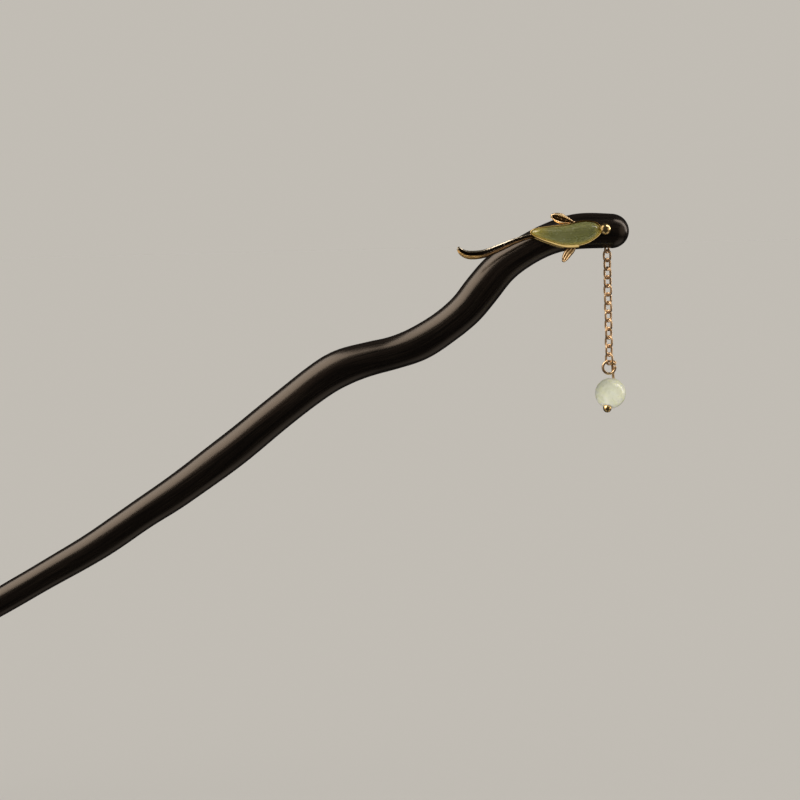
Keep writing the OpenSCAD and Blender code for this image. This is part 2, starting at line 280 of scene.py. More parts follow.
@dataclass
class Draft:
    """A mesh in the making, in millimetres, with a tone for each point, which is painted shade on metal and
    gold showing through on stone, and a finish for each face.
    """

    points: list[np.ndarray] = field(default_factory=list)
    tones: list[np.ndarray] = field(default_factory=list)
    faces: list[tuple[int, ...]] = field(default_factory=list)
    finishes: list[int] = field(default_factory=list)
    count: int = 0

    def loft(
        self,
        rings: np.ndarray,
        cap: Cap = Cap.FAN,
        finish: int | np.ndarray = 0,
        tone: float | np.ndarray = 0.0,
        closed: bool = False,
    ) -> None:
        """Adds a skin over rings of equally many points.

        Args:
            rings: The rings, as an array of ring, point and coordinate.
            cap: How the ends are closed, where the skin isn't closed along its way.
            finish: The finish of every face, or one for each point of each ring.
            tone: The tone of every point, or one for each point of each ring.
            closed: Whether the last ring meets the first one.
        """
        k, n, _ = rings.shape
        base = self.count
        self.points.append(rings.reshape(-1, 3))
        self.tones.append(np.broadcast_to(np.asarray(tone, float), (k, n)).reshape(-1))
        self.count += k * n
        finishes = np.broadcast_to(np.asarray(finish), (k, n))
        for r in range(k if closed else k - 1):
            low, high = base + r * n, base + (r + 1) % k * n
            for i in range(n):
                j = (i + 1) % n
                self.faces.append((low + i, low + j, high + j, high + i))
                self.finishes.append(int(finishes[r, i]))
        if not closed:
            self._close(base, n, cap, int(finishes[0, 0]), True)
            self._close(base + (k - 1) * n, n, cap, int(finishes[-1, 0]), False)

    def _close(self, start: int, n: int, cap: Cap, finish: int, first: bool) -> None:
        """Closes one end ring.

        Args:
            start: Number of the ring's first point.
            n: Points in the ring.
            cap: How it is closed.
            finish: The finish of the new faces.
            first: Whether it is the first ring, whose faces look back along the way.
        """
        if cap is Cap.FAN:
            ring = np.concatenate(self.points)[start:start + n]
            tones = np.concatenate(self.tones)[start:start + n]
            self.points.append(ring.mean(0)[None])
            self.tones.append(np.array([tones.mean()]))
            centre = self.count
            self.count += 1
            new = [(centre, start + (i + 1) % n, start + i) for i in range(n)]
        else:
            half = n // 2
            new = [(start + i, start + n - i, start + n - i - 1, start + i + 1) for i in range(1, half - 1)]
            new += [(start, start + n - 1, start + 1), (start + half - 1, start + half + 1, start + half)]
        self.faces += new if first else [f[::-1] for f in new]
        self.finishes += [finish] * len(new)

    def build(self, name: str, materials: Materials, sharp: float = 40.0) -> bpy.types.Object:
        """Makes the object, with its faces turned outwards and its tones as an attribute.

        Args:
            name: The object's name.
            materials: The finishes that the faces name by number.
            sharp: Angle in degrees above which an edge is shaded sharp.

        Returns:
            The new object, at the origin.
        """
        mesh = bpy.data.meshes.new(name)
        mesh.from_pydata(np.concatenate(self.points) * MM, [], self.faces)
        mesh.polygons.foreach_set("material_index", self.finishes)
        layer = mesh.attributes.new(SHADE_AND_GLOW, "FLOAT", "POINT")
        layer.data.foreach_set("value", np.concatenate(self.tones).astype(np.float32))
        turn_outwards(mesh)
        return placed(name, mesh, materials, sharp)


def turn_outwards(mesh: bpy.types.Mesh) -> None:
    """Turns the faces of every closed shell in a mesh outwards.

    Args:
        mesh: The mesh.
    """
    work = bmesh.new()
    work.from_mesh(mesh)
    bmesh.ops.recalc_face_normals(work, faces=work.faces)
    work.to_mesh(mesh)
    work.free()
    mesh.update()


def shade(mesh: bpy.types.Mesh, sharp: float) -> None:
    """Shades a mesh smooth, apart from the edges above an angle in degrees."""
    mesh.shade_smooth()
    mesh.set_sharp_from_angle(angle=math.radians(sharp))


def placed(name: str, mesh: bpy.types.Mesh, materials: Materials, sharp: float) -> bpy.types.Object:
    """Gives a mesh its materials and shading and puts it in the scene.

    Args:
        name: The object's name.
        mesh: The mesh.
        materials: Its materials.
        sharp: Angle in degrees above which an edge is shaded sharp.

    Returns:
        The new object, at the origin.
    """
    for material in materials:
        mesh.materials.append(material)
    shade(mesh, sharp)
    piece = bpy.data.objects.new(name, mesh)
    bpy.context.scene.collection.objects.link(piece)
    return piece


def hand_over(piece: bpy.types.Object, body: Body, slot: Slot, *nodes: str) -> None:
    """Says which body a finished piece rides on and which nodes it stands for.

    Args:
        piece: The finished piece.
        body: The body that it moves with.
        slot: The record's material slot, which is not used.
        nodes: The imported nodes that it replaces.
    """
    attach(piece, body.value)
    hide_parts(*nodes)
    faces = sum(len(p.vertices) - 2 for p in piece.data.polygons)
    LOG.info("%s: %d triangles, on %s, for %s", piece.name, faces, body.value, ", ".join(nodes))


class NodePlan:
    """A node tree in the making."""

    def __init__(self, tree: bpy.types.NodeTree) -> None:
        """Starts on a tree."""
        self.tree = tree

    def feed(self, node: bpy.types.Node, key: str | int, value: object) -> None:
        """Sets an input of a node, or links an output socket to it.

        Args:
            node: The node.
            key: The input's name or number.
            value: Its value, or the socket that gives it.
        """
        if isinstance(value, Socket):
            self.tree.links.new(value, node.inputs[key])
        else:
            node.inputs[key].default_value = value

    def add(self, kind: str, inputs: Inputs | None = None, **settings: object) -> bpy.types.Node:
        """Adds a node.

        Args:
            kind: The node's type.
            inputs: Values or output sockets for its inputs, by name or number.
            settings: Its properties.

        Returns:
            The new node.
        """
        node = self.tree.nodes.new(kind)
        for key, value in settings.items():
            setattr(node, key, value)
        for key, value in (inputs or {}).items():
            self.feed(node, key, value)
        return node

    def maths(self, operation: str, a: object, b: object) -> Socket:
        """Works out one sum, product or the like of two values."""
        return self.add("ShaderNodeMath", {0: a, 1: b}, operation=operation).outputs[0]


class Recipe(NodePlan):
    """A material in the making."""

    def __init__(self, name: str) -> None:
        """Starts a material with one surface shader.

        Args:
            name: The material's name.
        """
        self.material = bpy.data.materials.new(name)
        self.material.use_nodes = True
        super().__init__(self.material.node_tree)

    def surface(self, inputs: Inputs) -> bpy.types.Material:
        """Sets or links inputs of the surface shader.

        Args:
            inputs: Values or output sockets, by the name of the input.

        Returns:
            The finished material.
        """
        for key, value in inputs.items():
            self.feed(self.tree.nodes["Principled BSDF"], key, value)
        return self.material

    def place(self) -> Socket:
        """Reads the place on the piece in its own frame."""
        return self.add("ShaderNodeTexCoord").outputs["Object"]

    def attribute(self, name: str, output: str) -> Socket:
        """Reads an attribute of the piece's own mesh."""
        return self.add("ShaderNodeAttribute", attribute_name=name).outputs[output]

    def stretched(self, source: Socket, scale: Triple) -> Socket:
        """Scales coordinates along their three directions."""
        return self.add("ShaderNodeMapping", {"Vector": source, "Scale": scale}).outputs["Vector"]

    def noise(
        self, source: Socket, scale: float, detail: float = 2.0, rough: float = 0.5, warp: float = 0.0
    ) -> Socket:
        """Adds a cloud pattern.

        Args:
            source: The coordinates that it is laid out on.
            scale: How many clouds fit in one unit.
            detail: How many finer layers it has.
            rough: How strong the finer layers are.
            warp: How far the pattern is pulled about.

        Returns:
            The pattern, from 0 to 1.
        """
        inputs = {"Vector": source, "Scale": scale, "Detail": detail, "Roughness": rough, "Distortion": warp}
        return self.add("ShaderNodeTexNoise", inputs).outputs[0]

    def remap(self, value: Socket, given: Span, wanted: Span = (0.0, 1.0)) -> Socket:
        """Maps a range of values to another one, softly and clamped.

        Args:
            value: The value.
            given: The range that it is read in.
            wanted: What the two ends of that range become.

        Returns:
            The new value.
        """
        ends = ("From Min", "From Max", "To Min", "To Max")
        inputs = {"Value": value, **dict(zip(ends, (*given, *wanted)))}
        return self.add("ShaderNodeMapRange", inputs, interpolation_type="SMOOTHSTEP").outputs["Result"]

    def mix(self, share: Socket, a: Socket | Triple, b: Socket | Triple) -> Socket:
        """Mixes two colours, which the node takes at its inputs 6 and 7 and gives at its output 2.

        Args:
            share: How much there is of the second colour.
            a: The first colour.
            b: The second colour.

        Returns:
            The mixed colour.
        """
        first, second = ((*c, 1.0) if isinstance(c, tuple) else c for c in (a, b))
        return self.add("ShaderNodeMix", {0: share, 6: first, 7: second}, data_type="RGBA").outputs[2]

    def bump(self, height: Socket, strength: float) -> Socket:
        """Turns heights into a shallow bump."""
        inputs = {"Height": height, "Strength": strength, "Distance": BUMP_DEPTH * MM}
        return self.add("ShaderNodeBump", inputs).outputs["Normal"]


@dataclass(frozen=True)
class EbonyFinish:
    """Polished dark heartwood whose grain runs along the shaft.

    Its patterns are given as repeats in each metre along the shaft, through it and across it.
    """

    dark: Triple = (0.0022, 0.0018, 0.0016)
    brown: Triple = (0.0080, 0.0055, 0.0042)
    streak: Triple = (0.0140, 0.0092, 0.0068)
    sheen: Triple = (0.90, 0.77, 0.64)
    fibres: Triple = (90, 3200, 3200)
    bands: Triple = (14, 380, 380)
    pores: Triple = (420, 5200, 5200)
    polish: Span = (0.20, 0.30)
    relief: float = 0.16
    refraction: float = 1.5

    def material(self) -> bpy.types.Material:
        """Makes the material, which reads the straightened place on the shaft.

        Returns:
            The material.
        """
        r = Recipe("ebony")
        straight = r.attribute(GRAIN, "Vector")
        fibres = r.noise(r.stretched(straight, self.fibres), 1.0, 5.0, 0.6, 0.3)
        bands = r.noise(r.stretched(straight, self.bands), 1.0, 3.0, 0.5, 0.6)
        pores = r.add("ShaderNodeTexVoronoi", {"Vector": r.stretched(straight, self.pores), "Scale": 1.0})
        pits = r.remap(pores.outputs["Distance"], (0.10, 0.32), (1.0, 0.0))
        sparse = r.maths("MULTIPLY", pits, r.remap(bands, (0.42, 0.62), (0.15, 1.0)))
        wood = r.mix(r.remap(fibres, (0.35, 0.72)), self.dark, self.brown)
        wood = r.mix(r.remap(bands, (0.52, 0.74), (0.0, 0.75)), wood, self.streak)
        wood = r.mix(sparse, wood, self.dark)
        height = r.maths("SUBTRACT", r.maths("MULTIPLY", fibres, 0.5), sparse)
        return r.surface({
            "Base Color": wood,
            "Roughness": r.remap(fibres, (0.3, 0.75), self.polish),
            "Normal": r.bump(height, self.relief),
            "IOR": self.refraction,
            "Specular Tint": (*self.sheen, 1.0),
        })


@dataclass(frozen=True)
class MetalFinish:
    """Cast or drawn metal: the tone of the mesh mixes painted shade into its hollows and shaded faces, and
    fine lines or dimples roughen it.

    Its mottle and its pattern are given as repeats in each metre.
    """

    name: str
    colour: Triple
    painted_shade: Triple
    roughness: float
    relief: float = 0.02
    pattern: Triple = (900, 900, 900)
    mottle: float = 420
    mottle_shade: float = 0.82

    def material(self) -> bpy.types.Material:
        """Makes the material.

        Returns:
            The material.
        """
        r = Recipe(self.name)
        place = r.place()
        mottle = r.noise(place, self.mottle, 3.0, 0.55)
        fine = r.noise(r.stretched(place, self.pattern), 1.0, 4.0, 0.6, 0.2)
        darker = tuple(c * self.mottle_shade for c in self.colour)
        metal = r.mix(r.remap(mottle, (0.35, 0.7), (0.0, 0.35)), self.colour, darker)
        return r.surface({
            # painted shade mixed in where the tone is high
            "Base Color": r.mix(r.remap(r.attribute(SHADE_AND_GLOW, "Fac"), (0.15, 0.85)), metal, self.painted_shade),
            "Metallic": 1.0,
            "Roughness": r.maths("ADD", r.remap(mottle, (0.3, 0.75), (-0.03, 0.06)), self.roughness),
            "Normal": r.bump(fine, self.relief),
        })


@dataclass(frozen=True)
class JadeFinish:
    """Polished translucent stone with soft clouds, and a glow where its tone is high.

    Its clouds, veins and polishing marks are given as repeats in each metre.
    """

    name: str
    body: Triple
    cloud: Triple
    glow: Triple
    scatter: float
    reach_mm: float
    coat: float
    polish: Span
    reach_shares: Triple = (1.0, 1.0, 0.6)
    coat_roughness: float = 0.12
    refraction: float = 1.62
    relief: float = 0.008
    clouds: float = 330
    veins: Triple = (600, 900, 1500)
    marks: float = 1300

    def material(self) -> bpy.types.Material:
        """Makes the material.

        Returns:
            The material.
        """
        r = Recipe(self.name)
        place = r.place()
        clouds = r.noise(place, self.clouds, 2.0, 0.5, 0.8)
        veins = r.noise(r.stretched(place, self.veins), 1.0, 2.0, 0.5, 1.2)
        marks = r.noise(place, self.marks, 1.0)
        stone = r.mix(r.remap(clouds, (0.38, 0.68)), self.body, self.cloud)
        stone = r.mix(r.remap(veins, (0.55, 0.8), (0.0, 0.15)), stone, self.cloud)
        return r.surface({
            "Base Color": r.mix(r.attribute(SHADE_AND_GLOW, "Fac"), stone, self.glow),
            "Roughness": r.remap(marks, (0.3, 0.7), self.polish),
            "Normal": r.bump(marks, self.relief),
            "IOR": self.refraction,
            "Subsurface Weight": self.scatter,
            "Subsurface Radius": self.reach_shares,
            "Subsurface Scale": self.reach_mm * MM,
            "Coat Weight": self.coat,
            "Coat Roughness": self.coat_roughness,
        })


EBONY = EbonyFinish()
# Each metal's second colour is the painted shade that the tone mixes in.
GOLD = MetalFinish("gold", (0.97, 0.72, 0.33), (0.16, 0.085, 0.02), 0.2)
CAST_GOLD = MetalFinish("cast_gold", (0.82, 0.60, 0.36), (0.05, 0.024, 0.007), 0.26)
PALE_GOLD = MetalFinish("pale_gold", (0.84, 0.76, 0.60), (0.06, 0.030, 0.012), 0.22)
SATIN_GOLD = MetalFinish(
    "satin_gold", (0.90, 0.60, 0.24), (0.14, 0.085, 0.04), 0.42, relief=0.4, pattern=(500, 2600, 3800)
)
ROSE_GOLD = MetalFinish("rose_gold", (0.82, 0.58, 0.34), (0.24, 0.13, 0.06), 0.34)
GREEN_JADE = JadeFinish(
    "green_jade",
    body=(0.110, 0.115, 0.041),
    cloud=(0.130, 0.134, 0.055),
    glow=(0.33, 0.27, 0.063),
    scatter=0.7,
    reach_mm=1.1,
    coat=0.12,
    polish=(0.20, 0.28),
)
WHITE_JADE = JadeFinish(
    "white_jade",
    body=(0.62, 0.64, 0.50),
    cloud=(0.74, 0.76, 0.64),
    glow=(0.74, 0.76, 0.64),
    scatter=0.9,
    reach_mm=1.6,
    coat=0.1,
    polish=(0.26, 0.34),
)


@dataclass
class Fish:
    """The outline that the stone, the bezel and the wood's pocket share.

    The rows of middles are the height of the stone's middle line and half its width, from the tail to the
    nose. Ends along the outline are in degrees, from 0 at the tail to 180 at the nose. The ledge's inner edge
    is given as a share of the half width.
    """

    tail_x: float = 68.9
    length: float = 13.4
    wall: float = 0.2
    lip: float = 0.34
    ledge: float = 0.5
    ledge_inner: float = 0.2
    plate_margin: float = 0.04
    slack: float = 0.03
    seat_y: float = -2.6
    plate: float = 0.42
    bezel: float = 0.95
    lip_end: float = 110.0
    ledge_ends: Span = (20.0, 86.0)
    lip_rise: float = 0.1
    steps: int = 110
    middles: Rows = (
        (47.98, 0.00), (47.96, 0.67), (47.63, 1.33), (47.29, 1.93), (47.73, 2.12), (48.16, 1.29),
        (48.22, 0.00),
    )

    @property
    def back_y(self) -> float:
        """The back of the base plate."""
        return self.seat_y - self.slack

    @property
    def face_y(self) -> float:
        """The face of the base plate."""
        return self.back_y - self.plate

    @property
    def rim_y(self) -> float:
        """The rim of the bezel."""
        return self.face_y - self.bezel

    @property
    def nose_x(self) -> float:
        """The foremost point of the stone."""
        return self.tail_x + self.length

    def edge(self, degrees: np.ndarray, side: float, grow: float | np.ndarray) -> np.ndarray:
        """Points of the outline.

        Args:
            degrees: Places from the tail at 0 to the nose at 180.
            side: 1 for the back and -1 for the belly, or less for a line nearer the middle.
            grow: How far outside the stone's own outline they lie.

        Returns:
            Rows of x and z.
        """
        q = np.radians(degrees)
        row = curve_rows(self.middles, degrees / 180 * (len(self.middles) - 1))
        x = self.tail_x + self.length * (1 - np.cos(q)) / 2 - grow * np.cos(q)
        return np.stack([x, row[:, 0] + side * (np.maximum(row[:, 1], 0) + grow * np.sin(q))], 1)

    def outline(self, grow: float | np.ndarray) -> np.ndarray:
        """The whole outline, along the back to the nose and home along the belly."""
        q = np.linspace(0, 180, self.steps + 1)
        return np.concatenate([self.edge(q, 1, grow), self.edge(q[-2:0:-1], -1, grow)])

    def belly(self, grow: float, turn: float = 0.0) -> np.ndarray:
        """The outline of the ledge under the belly, which a turn in degrees makes longer at both ends."""
        q = np.linspace(self.ledge_ends[0] - turn, self.ledge_ends[1] + turn, self.steps + 1)
        return np.concatenate([self.edge(q, -1, grow), self.edge(q[::-1], -self.ledge_inner, 0.0)])

    @staticmethod
    def ring(outline: np.ndarray, y: float | np.ndarray) -> np.ndarray:
        """Puts an outline at a depth."""
        depth = np.broadcast_to(np.asarray(y, float), (len(outline),))
        return np.stack([outline[:, 0], depth, outline[:, 1]], 1)


@dataclass
class Shaft:
    """The wavy shaft with its rounded ends, the fish's pocket and the chain's recess.

    The rows are the x and z of the middle line, the height and the depth. The hand's waves are rows of share,
    radians in each millimetre along the shaft, waves round it, and start in radians.
    """

    fish: Fish
    chain_x: float
    eye_top: float
    rows: Rows = (
        (-65.9, -37.5, 3.3, 3.2), (-64.3, -36.6, 3.4, 3.3), (-56.0, -32.1, 4.3, 4.1),
        (-45.0, -26.2, 5.0, 4.8), (-34.3, -20.4, 5.35, 5.1), (-25.2, -15.4, 5.5, 5.3),
        (-16.0, -10.3, 5.95, 5.6), (-7.3, -4.6, 6.1, 5.9), (0.0, 0.0, 6.5, 6.1),
        (10.6, 7.5, 6.95, 6.4), (18.8, 13.9, 6.75, 6.4), (27.3, 20.2, 7.0, 6.5),
        (32.0, 22.8, 7.2, 6.6), (37.1, 24.3, 6.6, 6.4), (42.0, 25.4, 6.4, 6.3),
        (46.9, 27.1, 6.75, 6.4), (51.8, 30.0, 6.6, 6.4), (56.1, 33.4, 6.8, 6.5),
        (59.4, 37.3, 7.0, 6.5), (63.0, 41.35, 6.7, 6.5), (67.6, 44.3, 6.0, 6.4),
        (72.5, 46.65, 6.15, 6.5), (78.0, 48.0, 6.85, 6.6), (84.6, 47.9, 6.7, 6.5),
        (87.9, 47.45, 6.6, 6.4),
    )
    sides: int = 72
    steps: int = 22
    end_rings: int = 22
    end_angle: float = 2.0
    smoothing: int = 24
    hand_depth: float = 0.004
    hand_waves: Rows = ((1.0, 0.61, 2, 0.0), (0.7, 0.37, -1, 1.3))
    cut_from_y: float = -10.0
    recess_d: float = 1.75
    recess_gap: float = 0.12
    peg_d: float = 0.86
    peg_top: float = 48.23
    hole_sides: int = 64
    sharp: float = 35.0

    def build(self) -> None:
        """Builds the shaft, cuts its pocket and recess, and dresses it."""
        middle, sizes, way = self._stations()
        draft = Draft()
        draft.loft(self._rings(middle, sizes, way))
        wood = draft.build("stick_wood", [EBONY.material()])
        for cutter in self._cutters():
            self._cut(wood, cutter)
        self._lay_grain(wood.data, middle, way)
        shade(wood.data, self.sharp)
        hand_over(wood, Body.STICK, Slot.EBONY, "stick")

    def _stations(self) -> tuple[np.ndarray, np.ndarray, np.ndarray]:
        """Works out the places, the half sizes and the directions of all rings.

        Returns:
            Rows of x and z, rows of half height and half depth, and rows of direction in x and z.
        """
        last = len(self.rows) - 1
        q = np.linspace(math.radians(self.end_angle), math.pi / 2, self.end_rings)
        body = np.arange(1 + 1 / self.steps, last - 1 - 0.5 / self.steps, 1 / self.steps)
        u = np.concatenate([1 - np.cos(q), body, last - 1 + np.cos(q[::-1])])
        scale = np.concatenate([np.sin(q), np.ones(len(body)), np.sin(q[::-1])])
        rows = curve_rows(self.rows, u, True)
        inner = slice(self.end_rings - 1, len(u) - self.end_rings + 1)
        rows[inner] = smoothed(rows[inner], self.smoothing)
        way = smoothed(unit(headings(self.rows, u, True)[:, :2]), self.smoothing)
        return rows[:, :2], rows[:, 2:] / 2 * scale[:, None], unit(way)

    def _rings(self, middle: np.ndarray, sizes: np.ndarray, way: np.ndarray) -> np.ndarray:
        """Draws the rings, with the slight waves of carving by hand.

        Args:
            middle: Rows of x and z.
            sizes: Rows of half height and half depth.
            way: Rows of direction in x and z.

        Returns:
            The rings.
        """
        a, s = full_turn(self.sides)[None], middle[:, :1]
        waves = sum(
            share * np.sin(s * along + turns * a + start) for share, along, turns, start in self.hand_waves
        )
        up = np.sin(a) * sizes[:, :1] * (1 + self.hand_depth * waves)
        y = np.cos(a) * sizes[:, 1:] * (1 + self.hand_depth * waves)
        return np.stack([middle[:, :1] - way[:, 1:] * up, y, middle[:, 1:] + way[:, :1] * up], 2)

    def _cutters(self) -> list[bpy.types.Object]:
        """Makes the forms that are cut out of the wood.

        Returns:
            The forms of the plate's pocket, the ledge's pocket, the eye's recess and its peg's hole.
        """
        f = self.fish
        turn = math.degrees(2 * f.slack / f.length)
        pockets = (f.outline(f.wall + f.plate_margin + f.slack), f.belly(f.wall + f.ledge + f.slack, turn))
        depths = (f.seat_y, self.cut_from_y)
        forms = [(np.stack([f.ring(outline, y) for y in depths]), Cap.PAIRED) for outline in pockets]
        for diameter, top in ((self.recess_d, self.eye_top + self.recess_gap), (self.peg_d, self.peg_top)):
            profile = np.array([(diameter / 2, 0.0), (diameter / 2, top)])
            forms.append((lathe(profile, (self.chain_x, 0, 0), (0, 0, 1), self.hole_sides), Cap.FAN))
        cutters = []
        for rings, cap in forms:
            draft = Draft()
            draft.loft(rings, cap)
            cutters.append(draft.build("cutter", []))
        return cutters

    @staticmethod
    def _cut(wood: bpy.types.Object, cutter: bpy.types.Object) -> None:
        """Cuts one form out of the wood and removes the form.

        Args:
            wood: The wood, which gets a new mesh.
            cutter: The form.
        """
        modifier = wood.modifiers.new("cut", "BOOLEAN")
        modifier.operation = "DIFFERENCE"
        modifier.object = cutter
        modifier.solver = "EXACT"
        evaluated = wood.evaluated_get(bpy.context.evaluated_depsgraph_get())
        mesh = bpy.data.meshes.new_from_object(evaluated)
        wood.modifiers.remove(modifier)
        wood.data = mesh
        bpy.data.objects.remove(cutter)

    @staticmethod
    def _lay_grain(mesh: bpy.types.Mesh, middle: np.ndarray, way: np.ndarray) -> None:
        """Stores for each point its place along the shaft and across it, as if the shaft were straight.

        Args:
            mesh: The finished wood.
            middle: Rows of x and z of the middle line.
            way: Rows of its direction.
        """
        lengths = lengths_along(middle)
        tree = KDTree(len(middle))
        for k, (x, z) in enumerate(middle):
            tree.insert((x, 0, z), k)
        tree.balance()
        places = np.empty((len(mesh.vertices), 3), np.float32)
        for v in mesh.vertices:
            x, y, z = (c / MM for c in v.co)
            k = tree.find((x, 0, z))[1]
            off = np.array([x, z]) - middle[k]
            across = off[1] * way[k, 0] - off[0] * way[k, 1]
            places[v.index] = (lengths[k] + off @ way[k], y, across)
        layer = mesh.attributes.new(GRAIN, "FLOAT_VECTOR", "POINT")
        layer.data.foreach_set("vector", (places * MM).ravel())


@dataclass(frozen=True)
class Fin:
    """A thin cast fin.

    Its rows are x, y, z, width and share of the relief's height, from its root to its tip. Places along it
    count rows, and places across its face run from 0.5 at its upper edge to -0.5 at its lower one. A satin
    fin has a second finish on its lower band, which ends before a plain tip.
    """

    relief: Relief
    rows: Rows
    lines: float = 0.0
    beads: float = 0.0
    satin: bool = False
    plain_tip: float = 0.3
    steps: int = 20
    smoothing: int = 6
    face_points: int = 97
    back_every: int = 3
    back_width: float = 0.94
    tip_rings: int = 12
    tip_reach: float = 0.36
    tip_width: float = 0.05
    rim_place: float = 0.42
    rim_height: float = 0.42
    # relief depth over which the painted shade in the hollows deepens
    hollow_depth: float = 0.27
    satin_place: float = -0.05
    shade_place: float = -0.04
    shade: float = 0.85
    shade_until: float = 4.9
    # share of painted shade kept in the satin band's hollows, and how far the painted shade above the band
    # lightens towards the root
    satin_hollows: float = 0.2
    root_gleam: float = 0.25
    line_band: Span = (0.08, 0.48)
    line_fades: Span = (0.08, 0.06)
    line_waves: Span = (9.0, 46.0)
    rib_place: float = -0.05
    rib_width: float = 0.06
    beads_per_row: float = 1.3
    bead_sink: float = 0.55

    def add_to(self, draft: Draft) -> None:
        """Adds the fin to a draft, with its relief led round its tip.

        Args:
            draft: The mesh that it becomes a part of.
        """
        last = len(self.rows) - 1
        u = np.linspace(0, last, last * self.steps + 1)
        way = unit(smoothed(headings(self.rows, u)[:, :3], self.smoothing))
        turn = np.r_[np.zeros(len(u)), np.linspace(0, math.pi / 2, self.tip_rings + 1)[1:]][:, None]
        index = np.r_[np.arange(len(u)), np.full(self.tip_rings, len(u) - 1)]
        row, way, u = curve_rows(self.rows, u)[index], way[index], u[index, None]
        width, share = row[:, 3:4], row[:, 4:5]
        profile = curve_rows(self.relief.value, np.linspace(0, len(self.relief.value) - 1, self.face_points))
        place = profile[None, :, 0] * np.maximum(np.cos(turn), self.tip_width)
        from_middle = np.where(place < 0, -1, 1) * np.hypot(place, np.sin(turn) / 2)
        height = np.interp(from_middle, profile[::-1, 0], profile[::-1, 1])
        inside = np.abs(from_middle) < self.rim_place
        tip = np.clip(1 - (last - u) / self.plain_tip, 0, 1)
        height = height + tip * inside * np.maximum(self.rim_height - height, 0)
        raised = height * share + self._texture(u, from_middle)
        across = unit(np.cross(way, (0.0, -1.0, 0.0)))
        out = np.cross(across, way)
        middle = (row[:, :3] + way * self.tip_reach * width * np.sin(turn))[:, None]
        front = middle + across[:, None] * (place * width)[..., None] + out[:, None] * raised[..., None]
        back = middle + across[:, None] * (place[:, ::-self.back_every] * width * self.back_width)[..., None]
        rings = np.concatenate([front, back], 1)
        # painted shade in the hollows of the relief, deepest where the relief is lowest
        painted_shade = np.clip((self.rim_height - height) / self.hollow_depth, 0, 1) * inside
        tone = self._tone(u, from_middle, painted_shade)
        tones = np.concatenate([tone, np.zeros(back.shape[:2])], 1)
        finish = np.zeros(rings.shape[:2], int)
        if self.satin:
            lower = profile[None, :, 0] < self.satin_place
            finish[:, :self.face_points] = lower & (u < last - self.plain_tip)
        draft.loft(rings, Cap.FAN, finish, tones)

    def _tone(self, u: np.ndarray, place: np.ndarray, painted_shade: np.ndarray) -> np.ndarray:
        """Works out the tone, which is painted shade in the hollows and on a satin fin also darkens its lower
        band towards the root.

        Args:
            u: Places along the fin.
            place: Places across its face.
            painted_shade: How deep the relief lies there, from 0 to 1, which sets its painted shade.

        Returns:
            Tones from 0 to 1.
        """
        if not self.satin:
            return painted_shade
        near_root = np.clip(self.shade_until - u, 0, 1)
        band = self.satin_hollows * painted_shade + self.shade * near_root
        above = painted_shade * (1 - self.root_gleam * near_root)
        return np.clip(np.where(place < self.shade_place, band, above), 0, 1)

    def _texture(self, u: np.ndarray, place: np.ndarray) -> np.ndarray:
        """Fine raised lines on the lower band, or small beads along the middle rib.

        Args:
            u: Places along the fin.
            place: Places across its face.

        Returns:
            Heights to add, in millimetres.
        """
        upper = np.clip((-place - self.line_band[0]) / self.line_fades[0], 0, 1)
        lower = np.clip((place + self.line_band[1]) / self.line_fades[1], 0, 1)
        lines = self.lines * upper * lower * np.sin(u * self.line_waves[0] + place * self.line_waves[1])
        rib = np.exp(-(((place - self.rib_place) / self.rib_width) ** 2))
        beads = self.beads * rib * (np.abs(np.sin(u * math.pi * self.beads_per_row)) - self.bead_sink)
        return lines + beads


